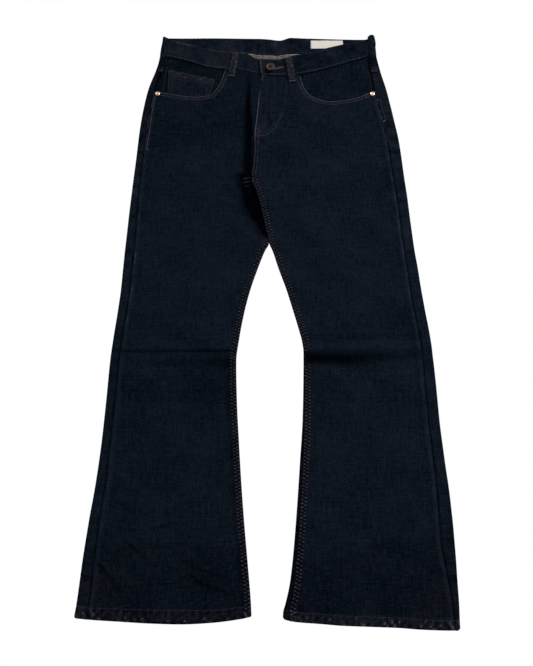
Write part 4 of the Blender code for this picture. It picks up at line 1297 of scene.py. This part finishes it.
def coin_pocket():
    """The small patch pocket on the left facing. Its lower part lies under the front."""
    along, across = shares_over(42, 34)
    flat = coin_point(across, along)
    x, up = flat[..., 0], flat[..., 1]
    lift = GAP + CLOTH + COIN_HEM * ramp(*COIN_HEM_SHARES, along)
    lift = lift + 0.2 * rumple(x, up, 22, 71) - 0.2 * bump(along - 0.93, 0.05)
    height = base_height(up) - POCKET_DROP + lift
    points = points_at(x, up, height)
    for side, turn in (("top", 0.6), ("left", 0.5), ("right", 0.5)):
        points = rolled(points, 1, side, COIN_ROLL, turn=math.pi * turn)
    x, up = points[..., 0], points[..., 1]
    hem = ramp(974, 984, up + 0.25 * (x + 140))
    wear_and_painted_shading = 0.08 + 0.55 * hem + 0.14 * rumple(x, up, 30, 72) + (0.1 + 0.35 * hem) * rumple(x, up, 8, 73)
    tones = {"wear_and_painted_shading": wear_and_painted_shading, "plum": np.clip(0.15 + 0.7 * hem + 0.2 * rumple(x, up, 18, 74), 0, 1)}
    uv = np.stack((x, up), axis=-1)
    piece = shell("coin_pocket_cloth", points, 1, CLOTH, uv, tones, (DENIM, WRONG_SIDE))
    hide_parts("coin_pocket")
    return piece, points


LABEL_X = (87, 150)
LABEL_UP = (1059, 1078.5)
LABEL_WALL = 0.6


def back_label():
    """The plain woven label inside the back waistband, sewn down at both ends."""
    along, across = shares_over(24, 56)
    x, up = mix(*LABEL_X, across), mix(*LABEL_UP, along)
    lift = GAP + 0.35 * np.sin(math.pi * across) ** 0.5 * (1 + 0.5 * rumple(x, up, 26, 81))
    height = BAND_CLOTH + LABEL_WALL + lift
    points = points_at(x, up, height)
    uv = np.stack((x - LABEL_X[0], up - LABEL_UP[0]), axis=-1)
    piece = shell("woven_label", points, 1, LABEL_WALL, uv, {}, (WOVEN, WOVEN))
    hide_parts("back_label")
    return piece, points


# Fasteners, turned about their middle.

BUTTON_PROFILE = (
    (0, 4.55), (1.2, 4.55), (2.0, 4.62), (2.3, 4.9), (2.7, 4.95), (3.1, 4.7), (3.6, 4.55),
    (5.4, 4.6), (6.1, 4.75), (6.5, 5.1), (7.0, 5.2), (7.6, 5.1), (8.1, 4.7), (8.42, 4.1),
    (8.5, 3.4), (8.35, 2.8), (7.9, 2.5), (5.5, 2.3), (3.2, 2.0), (3.0, 1.0), (3.3, 0.2), (3.4, 0),
)
RIVET_PROFILE = (
    (0, 2.0), (0.5, 1.98), (0.95, 1.85), (1.2, 1.5), (1.35, 1.15), (1.7, 1.0), (2.1, 1.05),
    (2.6, 1.35), (3.1, 1.55), (3.6, 1.5), (4.1, 1.25), (4.5, 0.85), (4.72, 0.4), (4.75, 0.1),
    (4.6, 0),
)
TURNS = 72
KNURL = 0.07


def fastener(name, node, profile, knurls, finish, sunk=0.0):
    """A turned piece in its node's place, with its rim knurled and dirt in its sunk middle."""
    box_low, box_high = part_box(node)
    centre = (box_low + box_high) / 2 / MM - ORIGIN
    foot = box_low.z / MM
    rim, highest = profile[-4][0] * 0.9, max(height for _, height in profile)
    points, recess = [], []
    for radius, height in profile:
        depth = max(1 - min(height / highest, 1), sunk * ramp(5.6, 4.4, radius))
        for k in range(TURNS):
            angle = 2 * math.pi * k / TURNS
            r = max(radius, 0.02) + KNURL * math.cos(knurls * angle) * (radius > rim)
            x, y = centre.x + r * math.cos(angle), centre.y + r * math.sin(angle)
            points.append((x, y, foot + height))
            recess.append(float(depth))
    faces = grid_faces(len(profile), TURNS, closed=True)[:, ::-1].tolist()
    faces.append(list(range(TURNS)))
    last = (len(profile) - 1) * TURNS
    faces.append([last + k for k in range(TURNS)][::-1])
    uv = np.array(points)[:, :2]
    piece = mesh_object(name, points, faces, uv, {"recess": recess}, (finish,))
    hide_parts(node)
    return piece


# Sewing. Each stitch is a short length of thread that dips into the cloth at both ends.

THREAD_RADIUS = 0.3
RUNG_RADIUS = 0.46
TACK_RADIUS = 0.26
STITCH_PITCH = 3.2
STITCH_LENGTH = 2.6
TACK_PITCH = 0.62
TACK_WIDTH = 2.4
THREAD_SIDES = 5
# Rings along a stitch, as (share of its length, height over the cloth, share of its radius).
THREAD_RINGS = (
    (-0.5, -0.12, 0.5), (-0.32, 0.16, 1), (0.0, 0.26, 1), (0.32, 0.16, 1), (0.5, -0.12, 0.5),
)


def left_of(heading):
    return np.array((-heading[1], heading[0]))


class Sewing:
    """Gathers stitches and lays them on the cloth under them."""

    def __init__(self, surfaces):
        points, faces, start = [], [], 0
        for grid in surfaces:
            rows, columns = grid.shape[:2]
            points += grid.reshape(-1, 3).tolist()
            faces += (grid_faces(rows, columns) + start).tolist()
            start += rows * columns
        self.cloth = BVHTree.FromPolygons(points, faces)
        self.draw = np.random.default_rng(17)
        self.places = {name: [] for name in THREADS}

    def stitch(self, thread, at, heading, length, radius=THREAD_RADIUS, below=40, lift=0):
        """One stitch at (X, up), on the first cloth under the height `below` and `lift` over it."""
        place, normal, _, _ = self.cloth.ray_cast(Vector((at[0], at[1], below)), Vector((0, 0, -1)))
        if place is None:
            return
        if normal.z < 0:
            normal.negate()
        place.z += lift
        heading = Vector((heading[0], heading[1], 0))
        heading = (heading - normal * heading.dot(normal)).normalized()
        self.places[thread].append((place, heading, normal.cross(heading), normal, length, radius))

    def row(self, thread, path, pitch=STITCH_PITCH, length=STITCH_LENGTH, aside=0.0, **where):
        """A row of stitches along a line of (X, up) points, moved aside to its left."""
        path = np.array(path, float)
        steps = np.linalg.norm(np.diff(path, axis=0), axis=1)
        run = np.concatenate(((0,), np.cumsum(steps)))
        for s in np.arange(length / 2, run[-1] - length / 2, pitch):
            behind, at, ahead = (
                np.array([np.interp(s + away, run, path[:, k]) for k in (0, 1)])
                for away in (-1.2, 0, 1.2)
            )
            heading = unit(ahead - behind)
            left = left_of(heading)
            wander = self.draw.normal(0, 0.09)
            turn = left * self.draw.normal(0, 0.03)
            long = length * self.draw.uniform(0.9, 1.06)
            self.stitch(thread, at + left * (aside + wander), heading + turn, long, **where)

    def rungs(self, thread, path, phase, width):
        """Short cross stitches where the phase along a line is at its highest, unevenly light."""
        path = np.array(path, float)
        turns = np.floor(phase / (2 * math.pi) - 0.25)
        for k in np.flatnonzero(np.diff(turns) > 0):
            heading = unit(path[k + 1] - path[k])
            radius = RUNG_RADIUS * self.draw.uniform(0.5, 1.15)
            length = width * self.draw.uniform(0.75, 1.1)
            self.stitch(thread, path[k], left_of(heading) + 0.2 * heading, length, radius)

    def tack(self, thread, start, end, width=TACK_WIDTH, pitch=TACK_PITCH):
        """A bar of close stitches across the line from start to end."""
        start, end = np.array(start, float), np.array(end, float)
        heading = unit(end - start)
        left = left_of(heading)
        count = max(int(np.linalg.norm(end - start) / pitch), 2)
        for k in range(count):
            slant = heading * 0.25 * (-1) ** k
            at = mix(start, end, (k + 0.5) / count) + left * self.draw.normal(0, 0.08)
            self.stitch(thread, at, left + slant, width * self.draw.uniform(0.92, 1.05), TACK_RADIUS)

    def finish(self):
        """One piece for each thread."""
        made = []
        for name, stitches in self.places.items():
            if not stitches:
                continue
            points, faces = [], []
            for place, heading, side, normal, length, radius in stitches:
                base = len(points)
                for along, lift, full in THREAD_RINGS:
                    centre = place + heading * (along * length) + normal * lift
                    for k in range(THREAD_SIDES):
                        angle = 2 * math.pi * (k + 0.5) / THREAD_SIDES
                        round_it = side * math.cos(angle) + normal * (0.8 * math.sin(angle))
                        points.append(tuple(centre + round_it * (radius * full)))
                rings = len(THREAD_RINGS)
                faces += (grid_faces(rings, THREAD_SIDES, closed=True)[:, ::-1] + base).tolist()
                faces.append([base + k for k in range(THREAD_SIDES)])
                last = base + (rings - 1) * THREAD_SIDES
                faces.append([last + k for k in range(THREAD_SIDES)][::-1])
            uv = np.array(points)[:, :2]
            piece = mesh_object(f"stitches_{name}", points, faces, uv, {}, (THREADS[name],))
            made.append(piece)
        return made


J_STITCH = (
    (41, 991), (38.5, 970), (37, 952.5), (34, 926), (30, 904), (20.6, 879), (14.8, 869.5),
    (5.2, 857.5), (-4, 851.5), (-13, 850), (-21, 851),
)
LEFT_SIDE_SEAM = ((-210.8, 941), (-215.4, 906.3), (-218.2, 865.7), (-220.6, 823.6))
RIGHT_SIDE_SEAM = ((209.8, 936.2), (214.1, 910.9), (218.4, 885.9), (222.3, 854.5), (227.4, 814.9))
FACING_EDGE = ((169, 1014), (184, 1015.5), (193, 1009), (196.5, 999), (200, 980), (201, 958))
LEFT_FACING_EDGE = ((-193.5, 1013), (-195, 990), (-197.5, 965), (-199.5, 946))
POCKET_ROWS = (2.0, 8.0)  # below the opening's edge
FELL_ROWS = (2.45, 7.65)
RUNG_WIDTH = 4.6
BAND_STITCHES = (3.0, 37.0)  # up from the band's lower edge


def clear_of_loops(path):
    """The runs of a band row that no belt loop covers."""
    runs, run = [], []
    for x, up in path:
        covered = False
        for loop in LOOPS:
            middle = np.interp(up, (loop.low_up, loop.top_up), (loop.low_x, loop.top_x))
            covered = covered or abs(x - middle) < loop.width / 2 + 2
        if covered:
            runs.append(run)
            run = []
        else:
            run.append((x, up))
    return [run for run in runs + [run] if len(run) > 1]


def sew_band(sewing):
    for level in BAND_STITCHES:
        share = level / BAND_HIGH
        for half, ends in ((LEFT, (-20, -203)), (RIGHT, (-8, 210))):
            path = []
            for x in np.linspace(*ends, 120):
                low, high = half.seam(x) + WAIST_GAP / 2, half.band(x)
                path.append((x, float(mix(low, high, share))))
            for run in clear_of_loops(path):
                sewing.row("ladder" if share < 0.5 else "dull", run)
        path = [(x, float(mix(back_seam(x), back_top(x), share))) for x in np.linspace(-186, 190, 90)]
        sewing.row("dull", path, below=1, lift=BAND_CLOTH)
    low, high = RIGHT.seam(-8) + 3, RIGHT.band(-8) - 3
    sewing.row("pale", [(-9.0, float(low)), (-12.2, float(high))])


def sew_pockets(sewing):
    for half in (LEFT, RIGHT):
        first, last = half.pocket_from, half.pocket_to
        outs = np.linspace(first, last - 4, 70)
        edge = np.stack((half.sign * outs, half.pocket(outs)), axis=1)
        edge = edge[edge[:, 1] < half.seam(edge[:, 0]) - 1]
        for down, thread in zip(POCKET_ROWS, ("pale", "ladder")):
            sewing.row(thread, edge, aside=-half.sign * down)
    sewing.row("dull", FACING_EDGE)
    sewing.row("dull", LEFT_FACING_EDGE)


def sew_coin_pocket(sewing):
    def line(start, end):
        share = np.linspace(0, 1, 40)
        places = coin_point(mix(start[0], end[0], share), mix(start[1], end[1], share))
        return places[places[:, 1] > LEFT.pocket(-places[:, 0]) + 1.5]

    for along in (0.955, 0.72):
        sewing.row("dull", line((0.02, along), (0.98, along)))
    for across in (0.03, 0.11, 0.89, 0.97):
        sewing.row("dull", line((across, 0.0), (across, 0.97)))
    for ends in (((0.02, 0.95), (0.1, 0.945)), ((0.9, 0.95), (0.98, 0.955))):
        sewing.tack("dull", *(coin_point(*np.array(end)) for end in ends), 2.2)


def sew_legs(sewing):
    by_fly = np.arange(CROTCH_UP, RIGHT.fell_end - 5, 5.0)
    for half in (LEFT, RIGHT):
        ups = np.arange(3, min(half.fell_end - 5, CROTCH_UP - 2), 0.4)
        place = row_up(half, ups, front_inner(half, ups), WAIST_UP)
        for across in FELL_ROWS:
            path = np.stack((half.sign * (front_inner(half, place) + across), place), axis=-1)
            lit = np.abs(place - KNEE_SHADE_UP) > (10 if half is RIGHT else 0)
            for part in (path[lit & (place < KNEE_SHADE_UP)], path[lit & (place > KNEE_SHADE_UP)]):
                sewing.rungs("ladder", part, ladder_phase(part[:, 1], across), RUNG_WIDTH)
            if half is RIGHT:
                sewing.row("ladder", [(float(front_inner(RIGHT, up)) + across, up) for up in by_fly])
        outs = np.linspace(half.hem_from + 1, half.hem_to - 1, 60)
        ups = half.hem(outs) + hem_depth(half, outs) - HEM_LINE_DOWN
        sewing.row("dull", np.stack((half.sign * outs, ups), axis=-1))


def sew_side_seams(sewing):
    sewing.row("pale", LEFT_SIDE_SEAM)
    sewing.row("ladder", LEFT_SIDE_SEAM, aside=-3.8)
    sewing.tack("rust", (-222, 822), (-216.5, 822.5))
    sewing.row("pale", RIGHT_SIDE_SEAM[:3])
    sewing.row("ladder", RIGHT_SIDE_SEAM[:3], aside=5.0)
    sewing.tack("pale", (217.8, 884.5), (223.2, 886))
    sewing.row("ladder", RIGHT_SIDE_SEAM[2:])


def sew_fly(sewing):
    sewing.row("pale", [(float(fly_x(up)) + 1.1, up) for up in np.arange(852, 990, 6)])
    sewing.row("dull", J_STITCH[:5])
    sewing.row("ladder", J_STITCH[4:])
    sewing.row("dull", J_STITCH[5:], aside=-5.4)
    sewing.tack("rust", (18.5, 873), (13.5, 879.5), 2.6)
    sewing.tack("rust", (-15.5, 853), (-15.0, 846), 2.6)


BUTTONHOLE = np.array((
    (10.6, 1001.0), (14.0, 1003.2), (20.2, 1005.6), (27.0, 1007.6), (33.7, 1009.4),
))


def sew_buttonhole(sewing):
    """The slit runs from under the button away from the band's end."""
    for side in (-1.1, 1.1):
        for start, end in zip(BUTTONHOLE, BUTTONHOLE[1:]):
            left = unit(left_of(end - start))
            sewing.tack("tan", start + left * side, end + left * side, 2.0, 0.5)


def sew_loops(sewing):
    for loop in LOOPS:
        top, low, down, across = loop_line(loop)
        ends = [(low - down * 2.4, "dull")]
        if "front" in loop.name:
            ends = [(top + down * 2.4, "rust"), (low - down * 2.4, "ladder")]
            for side in (-1, 1):
                aside = across * side * (loop.width / 2 - 3)
                sewing.row("dull", (top + down * 3 + aside, low - down * 3 + aside))
        reach = across * (loop.width / 2 - 1.4)
        for middle, thread in ends:
            sewing.tack(thread, middle - reach, middle + reach)


def sew_label(sewing):
    for x in (LABEL_X[0] + 1.6, LABEL_X[1] - 1.6):
        path = ((x, LABEL_UP[0] + 0.5), (x, LABEL_UP[1] - 0.5))
        sewing.row("cream", path, pitch=2.6, length=2.1, below=4.9)


# Everything in its place.


def dress():
    fronts = [front_panel(half) for half in (LEFT, RIGHT)]
    backs = [back_panel(half) for half in (LEFT, RIGHT)]
    fells = [fell_strip(half) for half in (LEFT, RIGHT)]
    facings = [pocket_facing(half) for half in (LEFT, RIGHT)]
    band, coin, label = waistband(), coin_pocket(), back_label()
    loops = [belt_loop(loop) for loop in LOOPS]
    dark = copper("dark_copper", (0.011, 0.008, 0.008), (0.062, 0.046, 0.042), 0.5, dirt=1.6)
    fastener("shank_button", "waist_button", BUTTON_PROFILE, 36, dark, sunk=0.7)
    bright = copper("rosy_copper", (0.30, 0.13, 0.08), (0.93, 0.66, 0.55), 0.22)
    for side in ("left", "right"):
        fastener(f"pocket_rivet_{side}", f"rivet_{side}", RIVET_PROFILE, 0, bright)
    cloth = fronts + backs + fells + facings + [band, coin, label] + loops
    sewing = Sewing([points for _, points in cloth])
    for sew in (sew_band, sew_pockets, sew_coin_pocket, sew_legs, sew_side_seams, sew_fly,
                sew_buttonhole, sew_loops, sew_label):
        sew(sewing)
    sewing.finish()
    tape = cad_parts["fly_zip"]
    for slot in tape.material_slots:
        slot.material = ZIP_TAPE


# Floor and light in metres, and the camera in millimetres.

CAMERA_TILT = math.radians(21.8)  # from straight down, towards the waist
CAMERA_HEIGHT = 1244
CAMERA_UP = -37.33
FOCAL = 53.76
SENSOR = 36.0
FLOOR_DROP = 0.0003
FLOOR_REACH = 4.0
AMBIENT = 0.45
LAMP_AT = (1.89, 2.16, 2.25)
LAMP_SIZE = (1.2, 1.2)
LAMP_POWER = 128


def studio():
    corners = [(x, y, -FLOOR_DROP) for x, y in ((-1, -1), (1, -1), (1, 1), (-1, 1))]
    corners = [(x * FLOOR_REACH, y * FLOOR_REACH, z) for x, y, z in corners]
    mesh = bpy.data.meshes.new("floor")
    mesh.from_pydata(corners, [], [(0, 1, 2, 3)])
    mesh.materials.append(floor_finish())
    floor = bpy.data.objects.new("floor", mesh)
    bpy.context.scene.collection.objects.link(floor)
    world = bpy.data.worlds.new("studio")
    world.use_nodes = True
    sky = world.node_tree.nodes["Background"].inputs
    sky["Color"].default_value = (1, 1, 1, 1)
    sky["Strength"].default_value = AMBIENT
    bpy.context.scene.world = world
    lamp = bpy.data.lights.new("key", "AREA")
    lamp.shape = "RECTANGLE"
    lamp.size, lamp.size_y = LAMP_SIZE
    lamp.energy = LAMP_POWER
    key = bpy.data.objects.new("key", lamp)
    key.location = LAMP_AT
    key.rotation_euler = (-Vector(LAMP_AT)).to_track_quat("-Z", "Y").to_euler()
    bpy.context.scene.collection.objects.link(key)


def camera():
    made = bpy.data.objects.new("camera", bpy.data.cameras.new("camera"))
    made.data.sensor_fit = "HORIZONTAL"
    made.data.sensor_width = SENSOR
    made.data.lens = FOCAL
    made.data.clip_start = 0.05
    made.location = (Vector((0, CAMERA_UP, CAMERA_HEIGHT)) + ORIGIN) * MM
    made.rotation_euler = (CAMERA_TILT, 0, 0)
    bpy.context.scene.collection.objects.link(made)
    bpy.context.scene.camera = made


ZIP_TAPE = zip_tape()
camera()
studio()
dress()
bpy.context.scene.view_settings.view_transform = "Standard"
